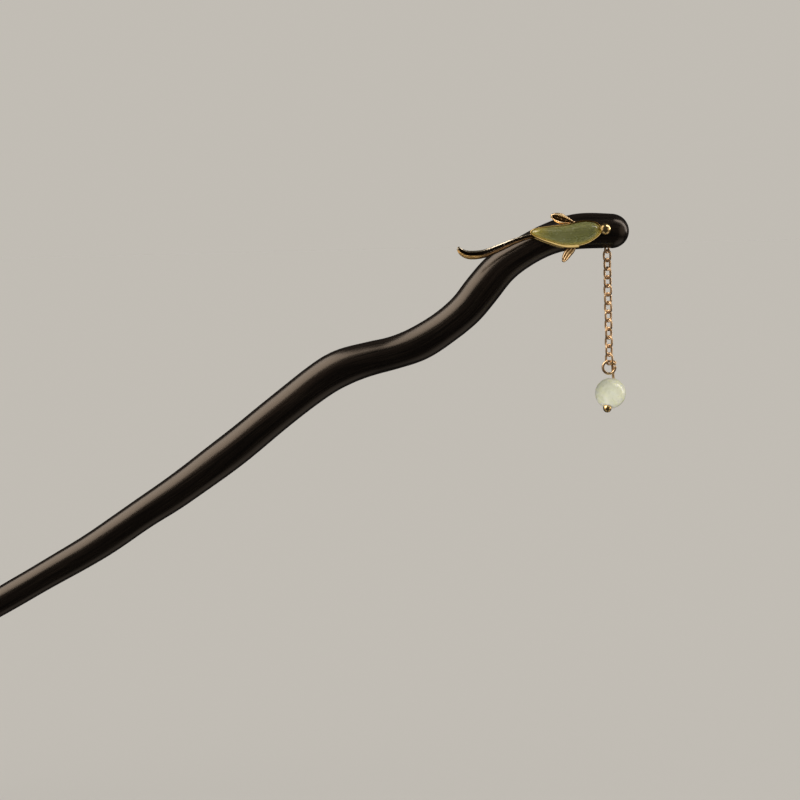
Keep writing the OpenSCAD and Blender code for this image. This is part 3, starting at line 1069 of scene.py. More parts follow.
@dataclass
class FishSetting:
    """The gold fish: base plate, bezel, lip, ledge, three fins and the ball at the nose.

    The bezel's foot and slope are rows of how far out a point lies, from the wall or from the stone, and how
    far behind the plate's face or the rim. The waves of its hand-worked rim are rows of height, waves round
    it, and start in radians. The ledge's section has rows of inset, distance behind the plate's face, and
    painted shade. The lip's slope has rows of margin, share of the lip's growth, distance behind the rim, and
    painted shade. The back of the bezel, the lip's outer side and crest, and the solder neck get painted
    shade too.
    """

    fish: Fish
    ball_at: Triple = (83.05, -4.5, 48.3)
    ball_axis: Triple = (0.2, 0.0, 1.0)
    ball_d: float = 2.25
    ball_rings: int = 40
    ball_sides: int = 56
    rim_round: float = 0.07
    rim_points: int = 5
    foot: Rows = ((0.04, 0.05), (0.025, 0.01), (0.01, 0.0), (0.0, -0.05))
    slope: Rows = ((0.06, 0.02), (-0.02, 0.05), (-0.06, 0.09), (-0.14, 0.24), (0.0, 0.40))
    rim_waves: Rows = ((0.016, 11, 0.6), (0.011, 23, 0.0))
    # Painted shade along the back of the bezel, by degrees from the tail to the nose, deepest on the back
    # towards the nose.
    back_painted_shade: Rows = ((0, 0.35), (60, 0.25), (90, 0.25), (108, 0.9), (150, 0.9), (168, 0.2), (180, 0.0))
    # Its last column is painted shade, deepest at the inner edge under the lip.
    ledge_section: Rows = (
        (0.00, 0.07, 0.4), (0.02, 0.02, 0.4), (0.05, 0.00, 0.4), (0.22, 0.00, 0.4), (0.25, 0.05, 0.9),
        (0.28, 0.09, 0.9),
    )
    lip_round: float = 0.08
    lip_points: int = 6
    lip_foot: float = 0.1
    lip_inner: float = 0.02
    lip_steps: int = 160
    # Its last column is painted shade, on the outer part of the inner slope.
    lip_slope: Rows = (
        (0.08, 0.6, 0.03, 0.3), (0.02, 0.2, 0.07, 0.0), (-0.09, 0.0, 0.13, 0.0), (-0.13, 0.0, 0.26, 0.0),
        (0.02, 0.0, 0.50, 0.0),
    )
    # Painted shade on the lip's outer side and on its crest.
    lip_painted_shade: Span = (0.8, 0.6)
    solder_from: Triple = (0.1, -0.5, 48.05)
    solder_r: float = 0.34
    solder_flare: float = 0.28
    # Painted shade over the whole solder neck.
    solder_shade: float = 0.45
    solder_rings: int = 9
    solder_sides: int = 24
    peg_places: Rows = ((73.6, 47.2), (79.6, 47.6))
    peg_d: float = 1.0
    peg_length: float = 2.2
    peg_chamfer: float = 0.08
    peg_sides: int = 32
    sharp: float = 50.0
    tail: Fin = Fin(
        Relief.TAIL,
        (
            (70.60, -3.00, 47.42, 0.85, 0.8),
            (68.60, -3.18, 47.20, 0.94, 1.0),
            (65.70, -3.30, 46.35, 1.16, 1.0),
            (62.80, -3.45, 45.17, 1.42, 1.0),
            (59.80, -3.65, 44.13, 1.62, 1.0),
            (57.20, -3.80, 43.93, 1.66, 1.0),
            (55.75, -3.80, 44.38, 1.38, 0.9),
            (55.05, -3.65, 45.05, 0.90, 0.8),
            (54.95, -3.60, 45.36, 0.55, 0.6),
        ),
        lines=0.028,
        satin=True,
        plain_tip=1.0,
    )
    back_fin: Fin = Fin(
        Relief.LEAF,
        (
            (77.60, -2.95, 49.57, 0.30, 0.6),
            (76.80, -3.00, 49.80, 0.75, 0.9),
            (75.80, -3.05, 50.18, 1.35, 1.0),
            (74.70, -3.10, 50.50, 2.00, 1.0),
            (73.85, -3.15, 50.79, 1.72, 1.0),
            (73.40, -3.15, 50.92, 1.40, 1.0),
            (73.05, -3.15, 51.00, 0.95, 0.9),
        ),
        beads=0.16,
    )
    belly_fin: Fin = Fin(
        Relief.RIBBED,
        (
            (76.75, -2.80, 45.10, 1.65, 1.0),
            (76.40, -2.90, 44.44, 1.65, 1.0),
            (75.95, -3.05, 43.88, 1.60, 1.0),
            (75.55, -3.18, 43.30, 1.45, 1.0),
            (75.22, -3.28, 42.74, 1.15, 1.0),
            (75.00, -3.33, 42.38, 0.70, 0.9),
        ),
    )

    def build(self) -> list[bpy.types.Object]:
        """Builds and dresses the setting's four pieces.

        Returns:
            The plate with its rims, the side fins, the tail, and the ball with its solder.
        """
        rims, leaves, tail, ball = Draft(), Draft(), Draft(), Draft()
        self._add_plate(rims)
        self._add_ledge(rims)
        self._add_lip(rims)
        self._add_pegs(rims)
        self.back_fin.add_to(leaves)
        self.belly_fin.add_to(leaves)
        self.tail.add_to(tail)
        profile = ball_profile(self.ball_d, self.ball_rings)
        ball.loft(lathe(profile, self.ball_at, self.ball_axis, self.ball_sides))
        self._add_solder(ball)
        polished = GOLD.material()
        pieces = [
            rims.build("fish_rims", [polished], self.sharp),
            leaves.build("side_fins", [CAST_GOLD.material()], self.sharp),
            tail.build("tail_fin", [PALE_GOLD.material(), SATIN_GOLD.material()], self.sharp),
            ball.build("nose_ball", [polished], self.sharp),
        ]
        for piece in pieces:
            hand_over(piece, Body.STICK, Slot.GOLD, "fish_setting")
        return pieces

    def _add_plate(self, draft: Draft) -> None:
        """Adds the base plate with the bezel, whose rim is rubbed down over the stone.

        Args:
            draft: The mesh that they become a part of.
        """
        f = self.fish
        crest = rounded_edge(self.rim_round, self.rim_points)
        stations = [
            (f.wall + f.plate_margin, f.back_y),
            *((f.wall + out, f.face_y + behind) for out, behind in self.foot),
            *((f.wall - inward, f.rim_y + down) for inward, down in crest),
            *((out, f.rim_y + down) for out, down in self.slope),
            (0.0, f.face_y),
        ]
        q = full_turn(2 * f.steps)
        uneven = sum(height * np.sin(waves * q + start) for height, waves, start in self.rim_waves)
        rings = []
        for grow, y in stations:
            share = np.clip((f.face_y - y) / f.bezel, 0, 1)
            rings.append(f.ring(f.outline(grow), y + uneven * share))
        degrees = np.linspace(0, 180, f.steps + 1)
        # painted shade on the back half of the outline, none on the belly half
        tone = np.r_[np.interp(degrees, *zip(*self.back_painted_shade)), np.zeros(f.steps - 1)]
        draft.loft(np.stack(rings), Cap.PAIRED, tone=tone[None])

    def _add_ledge(self, draft: Draft) -> None:
        """Adds the ledge that runs on from the tail under the belly.

        Args:
            draft: The mesh that it becomes a part of.
        """
        f = self.fish
        section = np.array([(0.0, f.plate, self.ledge_section[0][2]), *self.ledge_section])
        rings = [f.ring(f.belly(f.wall + f.ledge - inset), f.face_y + behind) for inset, behind, _ in section]
        # the third column of the section is painted shade
        draft.loft(np.stack(rings), Cap.PAIRED, tone=section[:, 2:])

    def _add_lip(self, draft: Draft) -> None:
        """Adds the thicker lip of the bezel along the belly, with its inner side sloping down to the stone.

        Args:
            draft: The mesh that it becomes a part of.
        """
        f = self.fish
        rim, foot = f.rim_y - f.lip_rise, f.face_y + self.lip_foot
        crest = rounded_edge(self.lip_round, self.lip_points)
        # painted shade for the outer side and the crest
        outer_shade, crest_shade = self.lip_painted_shade
        section = [
            (f.wall, 1.0, foot, outer_shade),
            *((f.wall - inward, 1.0, rim + down, crest_shade) for inward, down in crest),
            *((grow, share, rim + down, tone) for grow, share, down, tone in self.lip_slope),
            (self.lip_inner, 0.0, foot, 0.0),
        ]
        q = np.linspace(0, f.lip_end, self.lip_steps)
        growth = (f.lip * q / f.lip_end)[:, None]
        plain, wider = f.edge(q, -1, 0.0), f.edge(q, -1, 1.0)
        rings = [
            np.insert(plain + (wider - plain) * (grow + share * growth), 1, y, axis=1)
            for grow, share, y, _ in section
        ]
        draft.loft(np.stack(rings, 1), tone=np.array([tone for *_, tone in section])[None])

    def _add_solder(self, draft: Draft) -> None:
        """Adds the neck of solder between the bezel's nose and the ball.

        Args:
            draft: The mesh that it becomes a part of.
        """
        ahead, raised, z = self.solder_from
        nose = np.array([self.fish.nose_x + ahead, self.fish.face_y + raised, z])
        t = np.linspace(0, 1, self.solder_rings)
        radii = self.solder_r + self.solder_flare * (2 * t - 1) ** 2
        path = nose + t[:, None] * (np.array(self.ball_at) - nose)
        # the neck gets an even share of painted shade
        draft.loft(tube(path, radii, self.solder_sides), tone=self.solder_shade)

    def _add_pegs(self, draft: Draft) -> None:
        """Adds the two pegs that hold the plate in the wood.

        Args:
            draft: The mesh that they become a part of.
        """
        r, c = self.peg_d / 2, self.peg_chamfer
        start, end = self.fish.back_y - self.fish.plate / 2, self.fish.back_y + self.peg_length
        profile = np.array([(r, start), (r, end - c), (r - c, end)])
        for x, z in self.peg_places:
            draft.loft(lathe(profile, (x, 0, z), (0, 1, 0), self.peg_sides))


@dataclass
class FishStone:
    """The green cabochon that is the fish's body.

    The dome has rows of share of the way out from the crest and share of the height. The glows are of the
    tail, the belly's edge and the nose.
    """

    fish: Fish
    rise: float = 1.2
    spine: float = 2.4
    girdle: float = 0.2
    rings: int = 43
    tail_height: float = 0.62
    slope_length: float = 8.0
    dome: Rows = (
        (1.00, 0.00), (0.88, 0.32), (0.75, 0.60), (0.61, 0.81), (0.45, 0.93), (0.27, 0.99), (0.08, 1.00),
    )
    glows: Triple = (0.75, 0.8, 0.8)
    tail_glow: Span = (0.30, 1.1)
    nose_glow: Span = (0.90, 0.98)
    belly_glow: Span = (0.66, 1.3)
    belly_reach: float = 1.2
    sharp: float = 70.0

    def build(self) -> bpy.types.Object:
        """Builds the stone and dresses it.

        Returns:
            The stone.
        """
        f = self.fish
        outline = f.outline(-f.slack)
        low, high = f.tail_x + self.spine, f.nose_x - self.spine
        n = len(outline)
        partner = outline[(n - np.arange(n)) % n]
        crest = np.stack([np.clip(outline[:, 0], low, high), (outline[:, 1] + partner[:, 1]) / 2], 1)
        full = np.minimum(1, self.tail_height + (crest[:, 0] - low) / self.slope_length)
        girdle = f.rim_y + self.girdle
        rings, tones = [f.ring(outline, f.face_y - f.slack)], [self._tone(outline, crest, 1.0)]
        for spread, share in curve_rows(self.dome, np.linspace(0, len(self.dome) - 1, self.rings)):
            height = (self.girdle + f.slack + self.rise * full) * share
            rings.append(f.ring(crest + (outline - crest) * spread, girdle - height))
            tones.append(self._tone(outline, crest, spread))
        draft = Draft()
        draft.loft(np.stack(rings), Cap.PAIRED, tone=np.stack(tones))
        stone = draft.build("fish_stone_cabochon", [GREEN_JADE.material()], self.sharp)
        hand_over(stone, Body.STICK, Slot.GREEN_JADE, "fish_stone")
        return stone

    def _tone(self, outline: np.ndarray, crest: np.ndarray, spread: float) -> np.ndarray:
        """How strongly the gold behind shows through, most at the tail and the belly's edge.

        Args:
            outline: The stone's outline.
            crest: The points of the crest that they belong to.
            spread: 1 at the edge and 0 at the crest.

        Returns:
            One tone for each point of the ring.
        """
        x = crest[:, 0] + (outline[:, 0] - crest[:, 0]) * spread
        along = (x - self.fish.tail_x) / self.fish.length
        reach, fall = self.tail_glow
        tail = np.clip(1 - along / reach, 0, 1) ** fall
        start, full = self.nose_glow
        nose = np.clip((along - start) / (full - start), 0, 1)
        inner, fall = self.belly_glow
        edge = max(0.0, (spread - inner) / (1 - inner)) ** fall
        belly = np.clip((crest[:, 1] - outline[:, 1]) / self.belly_reach, 0, 1) * edge
        return np.clip(sum(glow * part for glow, part in zip(self.glows, (tail, belly, nose))), 0, 1)


@dataclass
class Chain:
    """The eye under the head and the links that hang on it, laid out by Geometry Nodes."""

    nodes: list[str]
    wire: float = 0.42
    width: float = 2.0
    eye_d: float = 1.5
    eye_wire: float = 0.38
    eye_stretch: float = 1.001
    play: float = 0.06
    turn: float = 45.0
    wobble: float = 4.0
    seed: int = 7
    sides: int = 16
    corner_points: int = 14
    corner_share: float = 0.4999
    peg_d: float = 0.8
    peg_top: float = 48.2
    peg_foot: Span = (0.12, 0.1)
    peg_chamfer: float = 0.1
    peg_sides: int = 32
    sharp: float = 60.0
    x: float = field(init=False)
    first_z: float = field(init=False)
    pitch: float = field(init=False)
    length: float = field(init=False)
    eye_z: float = field(init=False)

    def __post_init__(self) -> None:
        """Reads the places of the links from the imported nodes."""
        first, last = (sum(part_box(node), Vector()) / 2 / MM for node in (self.nodes[0], self.nodes[-1]))
        low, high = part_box(self.nodes[0])
        self.x, self.first_z = first.x, first.z
        self.pitch = (first.z - last.z) / (len(self.nodes) - 1)
        self.length = (high.z - low.z) / MM
        self.eye_z = self.first_z + self.length / 2 - self.wire - self.play - self.eye_wire + self.eye_d / 2

    @property
    def eye_top(self) -> float:
        """The top of the eye."""
        return self.eye_z + self.eye_d / 2

    def build(self) -> None:
        """Builds the links, the eye and its peg and dresses them."""
        material = ROSE_GOLD.material()
        tree = self._tree()
        links = self._grown("chain_links", tree, {
            "Finish": material,
            "Count": len(self.nodes),
            "Wire": self.wire * MM,
            "Width": self.width * MM,
            "Length": self.length * MM,
            "Start": (self.x * MM, 0.0, self.first_z * MM),
            "First Turn": -math.radians(self.turn),
            "Wobble": math.radians(self.wobble),
        })
        hand_over(links, Body.STICK, Slot.ROSE_GOLD, *self.nodes)
        eye = self._grown("eye_ring", tree, {
            "Finish": material,
            "Count": 1,
            "Wire": self.eye_wire * MM,
            "Width": self.eye_d * MM,
            "Length": self.eye_d * self.eye_stretch * MM,
            "Start": (self.x * MM, 0.0, self.eye_z * MM),
            "First Turn": math.radians(self.turn),
            "Wobble": 0.0,
        })
        hand_over(eye, Body.STICK, Slot.ROSE_GOLD, "chain_eye")
        r, c, bottom = self.peg_d / 2, self.peg_chamfer, self.eye_top - self.eye_wire / 2
        inward, up = self.peg_foot
        profile = np.array([
            (r - inward, bottom), (r, bottom + up), (r, self.peg_top - c), (r - c, self.peg_top),
        ])
        draft = Draft()
        draft.loft(lathe(profile, (self.x, 0, 0), (0, 0, 1), self.peg_sides))
        peg = draft.build("eye_peg", [material])
        hand_over(peg, Body.STICK, Slot.ROSE_GOLD, "chain_eye")

    def _grown(self, name: str, tree: bpy.types.NodeTree, values: dict[str, object]) -> bpy.types.Object:
        """Evaluates the tree on an empty mesh and keeps its result as a plain mesh.

        Args:
            name: The new object's name.
            tree: The geometry tree.
            values: The tree's inputs by name, apart from the pitch and the seed.

        Returns:
            The object, without its modifier.
        """
        start = bpy.data.objects.new(name + "_start", bpy.data.meshes.new(name + "_start"))
        bpy.context.scene.collection.objects.link(start)
        modifier = start.modifiers.new("links", "NODES")
        modifier.node_group = tree
        sockets = {s.name: s.identifier for s in tree.interface.items_tree if s.in_out == "INPUT"}
        for key, value in {**values, "Pitch": self.pitch * MM, "Seed": self.seed}.items():
            modifier[sockets[key]] = value
        evaluated = start.evaluated_get(bpy.context.evaluated_depsgraph_get())
        mesh = bpy.data.meshes.new_from_object(evaluated)
        start.modifiers.remove(modifier)
        bpy.data.objects.remove(start)
        mesh.materials.clear()
        turn_outwards(mesh)
        return placed(name, mesh, [values["Finish"]], self.sharp)

    def _tree(self) -> bpy.types.NodeTree:
        """Builds the tree: a rounded wire link, repeated down a line and turned one way and the other.

        Returns:
            The tree.
        """
        tree = bpy.data.node_groups.new("hanging_links", "GeometryNodeTree")
        tree.interface.new_socket("Geometry", in_out="INPUT", socket_type="NodeSocketGeometry")
        for name, kind in (
            ("Count", "Int"), ("Pitch", "Float"), ("Wire", "Float"), ("Width", "Float"), ("Length", "Float"),
            ("Start", "Vector"), ("First Turn", "Float"), ("Wobble", "Float"), ("Seed", "Int"),
            ("Finish", "Material"),
        ):
            tree.interface.new_socket(name, in_out="INPUT", socket_type="NodeSocket" + kind)
        tree.interface.new_socket("Geometry", in_out="OUTPUT", socket_type="NodeSocketGeometry")
        plan = NodePlan(tree)
        given = plan.add("NodeGroupInput").outputs
        across = plan.maths("SUBTRACT", given["Width"], given["Wire"])
        along = plan.maths("SUBTRACT", given["Length"], given["Wire"])
        box = plan.add("GeometryNodeCurvePrimitiveQuadrilateral", {"Width": across, "Height": along})
        oval = plan.add("GeometryNodeFilletCurve", {
            "Curve": box.outputs[0],
            "Radius": plan.maths("MULTIPLY", across, self.corner_share),
            "Count": self.corner_points,
        }, mode="POLY")
        section = plan.add("GeometryNodeCurvePrimitiveCircle", {
            "Resolution": self.sides,
            "Radius": plan.maths("MULTIPLY", given["Wire"], 0.5),
        })
        link = plan.add("GeometryNodeCurveToMesh", {
            "Curve": oval.outputs[0],
            "Profile Curve": section.outputs[0],
        })
        upright = plan.add("GeometryNodeTransform", {
            "Geometry": link.outputs[0],
            "Rotation": (math.pi / 2, 0, 0),
        })
        step = plan.add("ShaderNodeCombineXYZ", {"Z": plan.maths("MULTIPLY", given["Pitch"], -1.0)})
        line = plan.add("GeometryNodeMeshLine", {
            "Count": given["Count"],
            "Start Location": given["Start"],
            "Offset": step.outputs[0],
        })
        odd = plan.maths("MODULO", plan.add("GeometryNodeInputIndex").outputs[0], 2.0)
        sign = plan.maths("SUBTRACT", 1.0, plan.maths("MULTIPLY", odd, 2.0))
        loose = plan.add("FunctionNodeRandomValue", {
            "Seed": given["Seed"],
            2: plan.maths("MULTIPLY", given["Wobble"], -1.0),
            3: given["Wobble"],
        }, data_type="FLOAT")
        turn = plan.maths("ADD", plan.maths("MULTIPLY", given["First Turn"], sign), loose.outputs[1])
        hung = plan.add("GeometryNodeInstanceOnPoints", {
            "Points": line.outputs[0],
            "Instance": upright.outputs[0],
            "Rotation": plan.add("ShaderNodeCombineXYZ", {"Z": turn}).outputs[0],
        })
        real = plan.add("GeometryNodeRealizeInstances", {"Geometry": hung.outputs[0]})
        dressed = plan.add("GeometryNodeSetMaterial", {
            "Geometry": real.outputs[0],
            "Material": given["Finish"],
        })
        plan.add("NodeGroupOutput", {"Geometry": dressed.outputs[0]})
        return tree


@dataclass
class Drop:
    """The headpin with its loop and end ball, and the bead that turns on it.

    The bar's top and the bend are places seen from the middle of the loop. The bore's rim has rows of how far
    out and how far down its points lie.
    """

    joints: dict[str, dict[str, object]]
    wire: float = 0.5
    loop_d: float = 2.9
    loop_points: int = 90
    bore_gap: float = 0.05
    end_ball_d: float = 1.65
    ball_sunk: float = 0.6
    ball_rings: int = 36
    ball_sides: int = 48
    neck: float = 0.15
    bar_top: Triple = (0.64, 0.34, 1.1)
    bend: Triple = (1.28, 0.24, 1.03)
    join: float = 25.0
    open_end: float = 8.0
    path_step: float = 0.06
    path_smoothing: int = 12
    tip_rings: int = 6
    tip_width: float = 0.25
    sides: int = 24
    bead_sides: int = 96
    bead_rings: int = 70
    bore_rim: Rows = ((0.0, 0.06), (0.03, 0.01))
    rim_angles: Span = (0.03, 0.02)
    cup_rings: int = 14
    cup_angle: float = 0.05
    cup_depth: float = 0.9
    sharp: float = 60.0
    loop_at: np.ndarray = field(init=False)
    bead_at: np.ndarray = field(init=False)
    way: np.ndarray = field(init=False)
    bead_d: float = field(init=False)
    ball_along: float = field(init=False)

    def __post_init__(self) -> None:
        """Reads the joints' places and the bead's size from the frame."""
        swing, spin = self.joints["drop_swing"], self.joints["bead_spin"]
        self.loop_at = np.array(swing["pos_m"]) / MM
        self.bead_at = np.array(spin["pos_m"]) / MM
        self.way = unit(np.array(spin["axis"], float))
        low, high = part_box("drop_bead")
        self.bead_d = (high.x - low.x) / MM
        self.ball_along = -(self.bead_d + self.end_ball_d) / 2 + self.ball_sunk

    def build(self) -> bpy.types.Object:
        """Builds the pin and the bead and dresses them.

        Returns:
            The bead.
        """
        path = smoothed(even_path(self._wire_path(), self.path_step), self.path_smoothing)
        radii = np.full(len(path), self.wire / 2)
        tip = np.linspace(0, math.pi / 2, self.tip_rings)[::-1]
        radii[-self.tip_rings:] *= np.maximum(np.sin(tip), self.tip_width)
        ball_at = self.bead_at + self.way * self.ball_along
        draft = Draft()
        draft.loft(tube(path, radii, self.sides))
        ball = ball_profile(self.end_ball_d, self.ball_rings)
        draft.loft(lathe(ball, ball_at, self.way, self.ball_sides), finish=1)
        pin = draft.build("drop_wire", [ROSE_GOLD.material(), GOLD.material()], self.sharp)
        hand_over(pin, Body.DROP, Slot.ROSE_GOLD, "drop_pin")
        return self._build_bead()

    def _wire_path(self) -> np.ndarray:
        """Lays out the middle of the wire: up through the bead, over the top of the bar and round the loop.

        Returns:
            Its points.
        """
        r = (self.loop_d - self.wire) / 2
        a = np.radians(np.linspace(self.join, self.join + 360 - self.open_end, self.loop_points))
        loop = self.loop_at + r * np.stack([np.cos(a), 0 * a, np.sin(a)], 1)
        neck = self.bead_at + self.way * (self.bead_d / 2 + self.neck)
        start = self.bead_at + self.way * self.ball_along
        return np.concatenate([[start, neck, self.loop_at + self.bar_top, self.loop_at + self.bend], loop])

    def _build_bead(self) -> bpy.types.Object:
        """Builds the drilled bead, with softened rims and a seat for the end ball.

        Returns:
            The bead.
        """
        r, bore = self.bead_d / 2, self.wire / 2 + self.bore_gap
        seat = self.end_ball_d / 2 + self.bore_gap
        reach = abs(self.ball_along)
        top = math.asin(bore / r)
        rim = math.acos((r * r + reach * reach - seat * seat) / (2 * r * reach))
        at_bore, at_seat = self.rim_angles
        a = np.linspace(top + at_bore, math.pi - rim - at_seat, self.bead_rings)
        cup_start = math.atan2(r * math.sin(rim), reach - r * math.cos(rim)) + self.cup_angle
        b = np.linspace(cup_start, math.asin(bore / seat), self.cup_rings)
        bore_top = math.sqrt(r * r - bore * bore)
        profile = np.concatenate([
            [(bore + out, bore_top - down) for out, down in self.bore_rim],
            r * np.stack([np.sin(a), np.cos(a)], 1),
            np.stack([seat * np.sin(b), seat * np.cos(b) - reach], 1),
            [(bore, seat * self.cup_depth - reach)],
        ])
        draft = Draft()
        draft.loft(lathe(profile, self.bead_at, self.way, self.bead_sides), closed=True)
        bead = draft.build("jade_bead", [WHITE_JADE.material()], self.sharp)
        hand_over(bead, Body.BEAD, Slot.WHITE_JADE, "drop_bead")
        return bead


def lights_only(light: bpy.types.Object, *targets: bpy.types.Object, spared: bool = False) -> None:
    """Makes a light shine on some objects alone, or on everything but them.

    Args:
        light: The light.
        targets: The objects.
        spared: Whether the light leaves the objects out and lights the rest.
    """
    reach = bpy.data.collections.new(light.name + "_reach")
    for target in targets:
        reach.objects.link(target)
    light.light_linking.receiver_collection = reach
    for link in reach.collection_objects:
        link.light_linking.link_state = "EXCLUDE" if spared else "INCLUDE"


@dataclass(frozen=True)
class SoftBox:
    """A soft light that shines at a place. All its lengths are in metres."""

    name: str
    way: Triple
    distance: float
    size: Span
    watts: float
    tint: Triple
    turn: float = 0.0
    aim: Triple = (0.045, 0.0, 0.03)

    def place(self) -> bpy.types.Object:
        """Puts the light in the scene.

        Returns:
            The light.
        """
        data = bpy.data.lights.new(self.name, "AREA")
        data.shape = "RECTANGLE"
        data.size, data.size_y = self.size
        data.energy = self.watts
        data.color = self.tint
        light = bpy.data.objects.new(self.name, data)
        way = Vector(self.way).normalized()
        light.location = Vector(self.aim) + way * self.distance
        spin = Matrix.Rotation(math.radians(self.turn), 4, "Z")
        light.rotation_euler = (way.to_track_quat("Z", "Y").to_matrix().to_4x4() @ spin).to_euler()
        bpy.context.scene.collection.objects.link(light)
        return light


@dataclass(frozen=True)
class Card:
    """A soft patch of light that only mirror images show: a direction, its reach in degrees and its glow."""

    way: Triple
    bright_to: float
    dark_from: float
    glow: Triple


@dataclass
class Studio:
    """The plain pale floor, the pale surround, the soft lights and the camera. All lengths are in metres."""

    floor_z: float = -0.062
    floor_size: float = 60.0
    floor_colour: Triple = (0.62, 0.60, 0.57)
    floor_sun: float = 1.0
    sun_angle: float = 24.0
    sun_lean: Span = (-22.0, -16.0)
    ambient: Triple = (0.58, 0.56, 0.52)
    mirrored: Triple = (0.030, 0.027, 0.025)
    cards: tuple[Card, ...] = (
        Card((0.55, 0.15, -0.82), 10.0, 28.0, (0.42, 0.37, 0.32)),
        Card((-0.42, -0.125, -0.90), 12.0, 26.0, (0.30, 0.28, 0.25)),
        Card((-0.94, -0.30, 0.05), 12.0, 36.0, (0.60, 0.50, 0.40)),
        Card((-0.66, -0.22, 0.72), 13.0, 24.0, (1.1, 0.95, 0.80)),
        Card((0.94, -0.25, 0.02), 10.0, 34.0, (0.55, 0.45, 0.36)),
    )
    left_box: SoftBox = SoftBox("left_box", (-0.66, -0.22, 0.72), 1.0, (1.2, 0.95), 15.0, (1.0, 0.90, 0.80))
    right_box: SoftBox = SoftBox(
        "right_box", (0.80, 0.08, 0.55), 1.0, (0.26, 1.7), 7.0, (1.0, 0.92, 0.86), turn=24.0
    )
    rim_box: SoftBox = SoftBox("rim_box", (-0.05, -0.90, 0.42), 1.0, (1.6, 1.3), 4.4, (1.0, 0.96, 0.78))
    bead_box: SoftBox = SoftBox(
        "bead_box", (-0.35, -0.80, -0.48), 0.08, (0.08, 0.08), 0.037, (1.0, 0.95, 0.93),
        aim=(0.0836, 0.0, 0.0166),
    )
    stone_box: SoftBox = SoftBox(
        "stone_box", (0.15, -0.55, -0.82), 0.1, (0.08, 0.08), 0.07, (1.0, 0.98, 0.90),
        aim=(0.0765, 0.0, 0.047),
    )
    target: Triple = (0.04301, 0.0, 0.01624)
    distance: float = 0.6
    pitch: float = 3.0
    roll: float = 1.37
    lens: float = 139.6
    clip_start: float = 0.01

    def build(self) -> bpy.types.Object:
        """Builds the floor, the surroundings and the camera.

        Returns:
            The floor.
        """
        floor = self._lay_floor()
        self._light_floor(floor)
        self._surround()
        self._set_camera()
        return floor

    def light(
        self,
        floor: bpy.types.Object,
        trim: tuple[bpy.types.Object, ...],
        ball: bpy.types.Object,
        stone: bpy.types.Object,
        bead: bpy.types.Object,
    ) -> None:
        """Places the lights, three of which shine on the fish's trim, on its stone or on the bead alone.

        Args:
            floor: The floor, which has a light of its own.
            trim: The setting's rims and side fins.
            ball: The ball at the fish's nose, which mirrors a card in place of the left box.
            stone: The stone.
            bead: The bead of the drop.
        """
        lights_only(self.left_box.place(), floor, ball, bead, spared=True)
        lights_only(self.right_box.place(), floor, spared=True)
        lights_only(self.rim_box.place(), *trim)
        for box, target in ((self.stone_box, stone), (self.bead_box, bead)):
            glow = box.place()
            glow.visible_camera = False
            glow.visible_glossy = False
            lights_only(glow, target)

    def _lay_floor(self) -> bpy.types.Object:
        """Lays the floor, in a plain matt finish.

        Returns:
            The floor.
        """
        mesh = bpy.data.meshes.new("floor")
        h = self.floor_size / 2
        places = [(x, y, self.floor_z) for x, y in ((-h, -h), (h, -h), (h, h), (-h, h))]
        mesh.from_pydata(places, [], [(0, 1, 2, 3)])
        plaster = {"Base Color": (*self.floor_colour, 1.0), "Roughness": 1.0, "Specular IOR Level": 0.0}
        mesh.materials.append(Recipe("plaster").surface(plaster))
        floor = bpy.data.objects.new("floor", mesh)
        floor.visible_glossy = False
        bpy.context.scene.collection.objects.link(floor)
        return floor

    def _light_floor(self, floor: bpy.types.Object) -> None:
        """Lights the floor evenly, with a faint soft shadow under the object.

        Args:
            floor: The floor.
        """
        data = bpy.data.lights.new("floor_light", "SUN")
        data.energy = self.floor_sun
        data.angle = math.radians(self.sun_angle)
        light = bpy.data.objects.new("floor_light", data)
        light.rotation_euler = (*(math.radians(a) for a in self.sun_lean), 0)
        light.visible_glossy = False
        bpy.context.scene.collection.objects.link(light)
        lights_only(light, floor)

    def _surround(self) -> None:
        """Makes the surroundings as pale as the floor to look at, and dim in mirror images."""
        world = bpy.data.worlds.new("studio")
        world.use_nodes = True
        plan = NodePlan(world.node_tree)
        plan.tree.nodes.clear()
        ray = plan.add("ShaderNodeLightPath").outputs
        way = plan.add("ShaderNodeTexCoord").outputs["Generated"]
        mirrored = plan.add("ShaderNodeCombineXYZ", dict(enumerate(self.mirrored))).outputs[0]
        for card in self.cards:
            mirrored = self._card_added(plan, way, mirrored, card)
        lit = self.floor_sun * math.prod(math.cos(math.radians(a)) for a in self.sun_lean) / math.pi
        pale = (c * (lit + a) for c, a in zip(self.floor_colour, self.ambient))
        glows = [
            plan.add("ShaderNodeBackground", {0: colour}).outputs[0]
            for colour in ((*self.ambient, 1.0), mirrored, (*pale, 1.0))
        ]
        unseen = plan.add("ShaderNodeMixShader", {0: ray["Is Glossy Ray"], 1: glows[0], 2: glows[1]})
        shown = plan.add("ShaderNodeMixShader", {0: ray["Is Camera Ray"], 1: unseen.outputs[0], 2: glows[2]})
        plan.add("ShaderNodeOutputWorld", {"Surface": shown.outputs[0]})
        bpy.context.scene.world = world

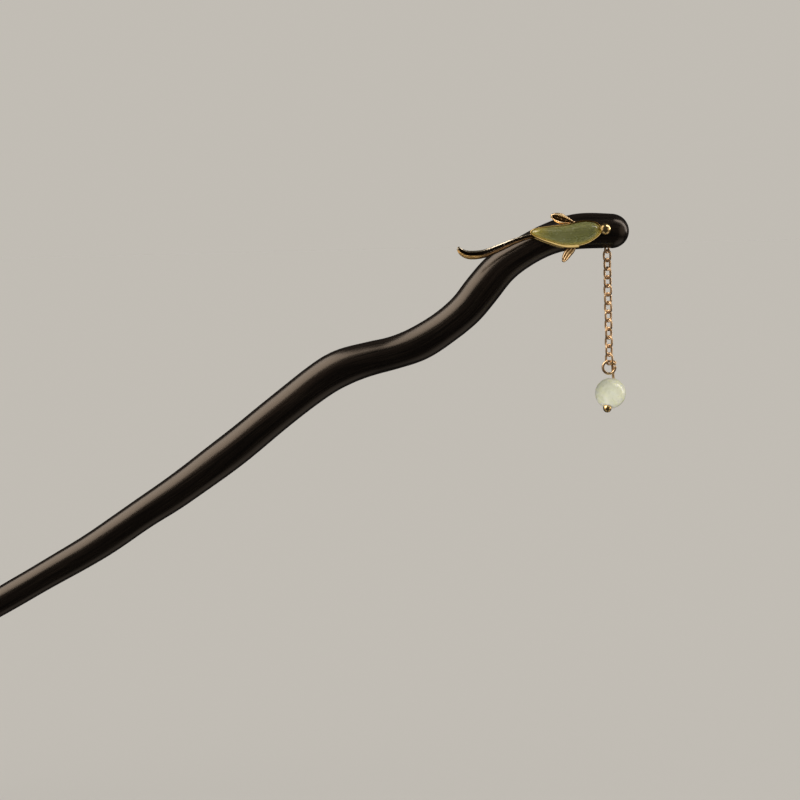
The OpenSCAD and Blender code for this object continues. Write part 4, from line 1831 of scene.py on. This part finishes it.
    @staticmethod
    def _card_added(plan: NodePlan, way: Socket, colour: Socket, card: Card) -> Socket:
        """Adds one soft card to the mirrored surroundings.

        Args:
            plan: The world's nodes.
            way: The direction that is looked at.
            colour: What is mirrored there so far.
            card: The card.

        Returns:
            What is mirrored there with the card.
        """
        middle = Vector(card.way).normalized()
        aligned = plan.add("ShaderNodeVectorMath", {0: way, 1: middle}, operation="DOT_PRODUCT")
        share = plan.add("ShaderNodeMapRange", {
            "Value": aligned.outputs["Value"],
            "From Min": math.cos(math.radians(card.dark_from)),
            "From Max": math.cos(math.radians(card.bright_to)),
        }, interpolation_type="SMOOTHSTEP").outputs["Result"]
        light = plan.add("ShaderNodeVectorMath", {0: card.glow, "Scale": share}, operation="SCALE")
        return plan.add("ShaderNodeVectorMath", {0: colour, 1: light.outputs[0]}).outputs[0]

    def _set_camera(self) -> None:
        """Sets the camera where the photograph was taken from, a little above and with a slight roll."""
        p, r = math.radians(self.pitch), math.radians(self.roll)
        ahead = Vector((0, math.cos(p), -math.sin(p)))
        level, above = Vector((1, 0, 0)), Vector((0, math.sin(p), math.cos(p)))
        right = math.cos(r) * level - math.sin(r) * above
        up = math.sin(r) * level + math.cos(r) * above
        data = bpy.data.cameras.new("camera")
        data.lens = self.lens
        data.clip_start = self.clip_start
        camera = bpy.data.objects.new("camera", data)
        turn = Matrix((right, up, -ahead)).transposed()
        camera.matrix_world = Matrix.Translation(Vector(self.target) - ahead * self.distance) @ turn.to_4x4()
        bpy.context.scene.collection.objects.link(camera)
        bpy.context.scene.camera = camera
        bpy.context.scene.view_settings.view_transform = "Standard"


def main() -> None:
    """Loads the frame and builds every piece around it."""
    logging.basicConfig(level=logging.INFO, format="%(message)s")
    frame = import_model()
    studio = Studio()
    floor = studio.build()
    fish = Fish()
    chain = Chain(sorted(name for name in frame["nodes"] if name.startswith("chain_link_")))
    Shaft(fish, chain.x, chain.eye_top).build()
    rims, side_fins, _, ball = FishSetting(fish).build()
    stone = FishStone(fish).build()
    chain.build()
    bead = Drop({joint["name"]: joint for joint in frame["joints"]}).build()
    studio.light(floor, (rims, side_fins), ball, stone, bead)


if __name__ == "__main__":
    main()
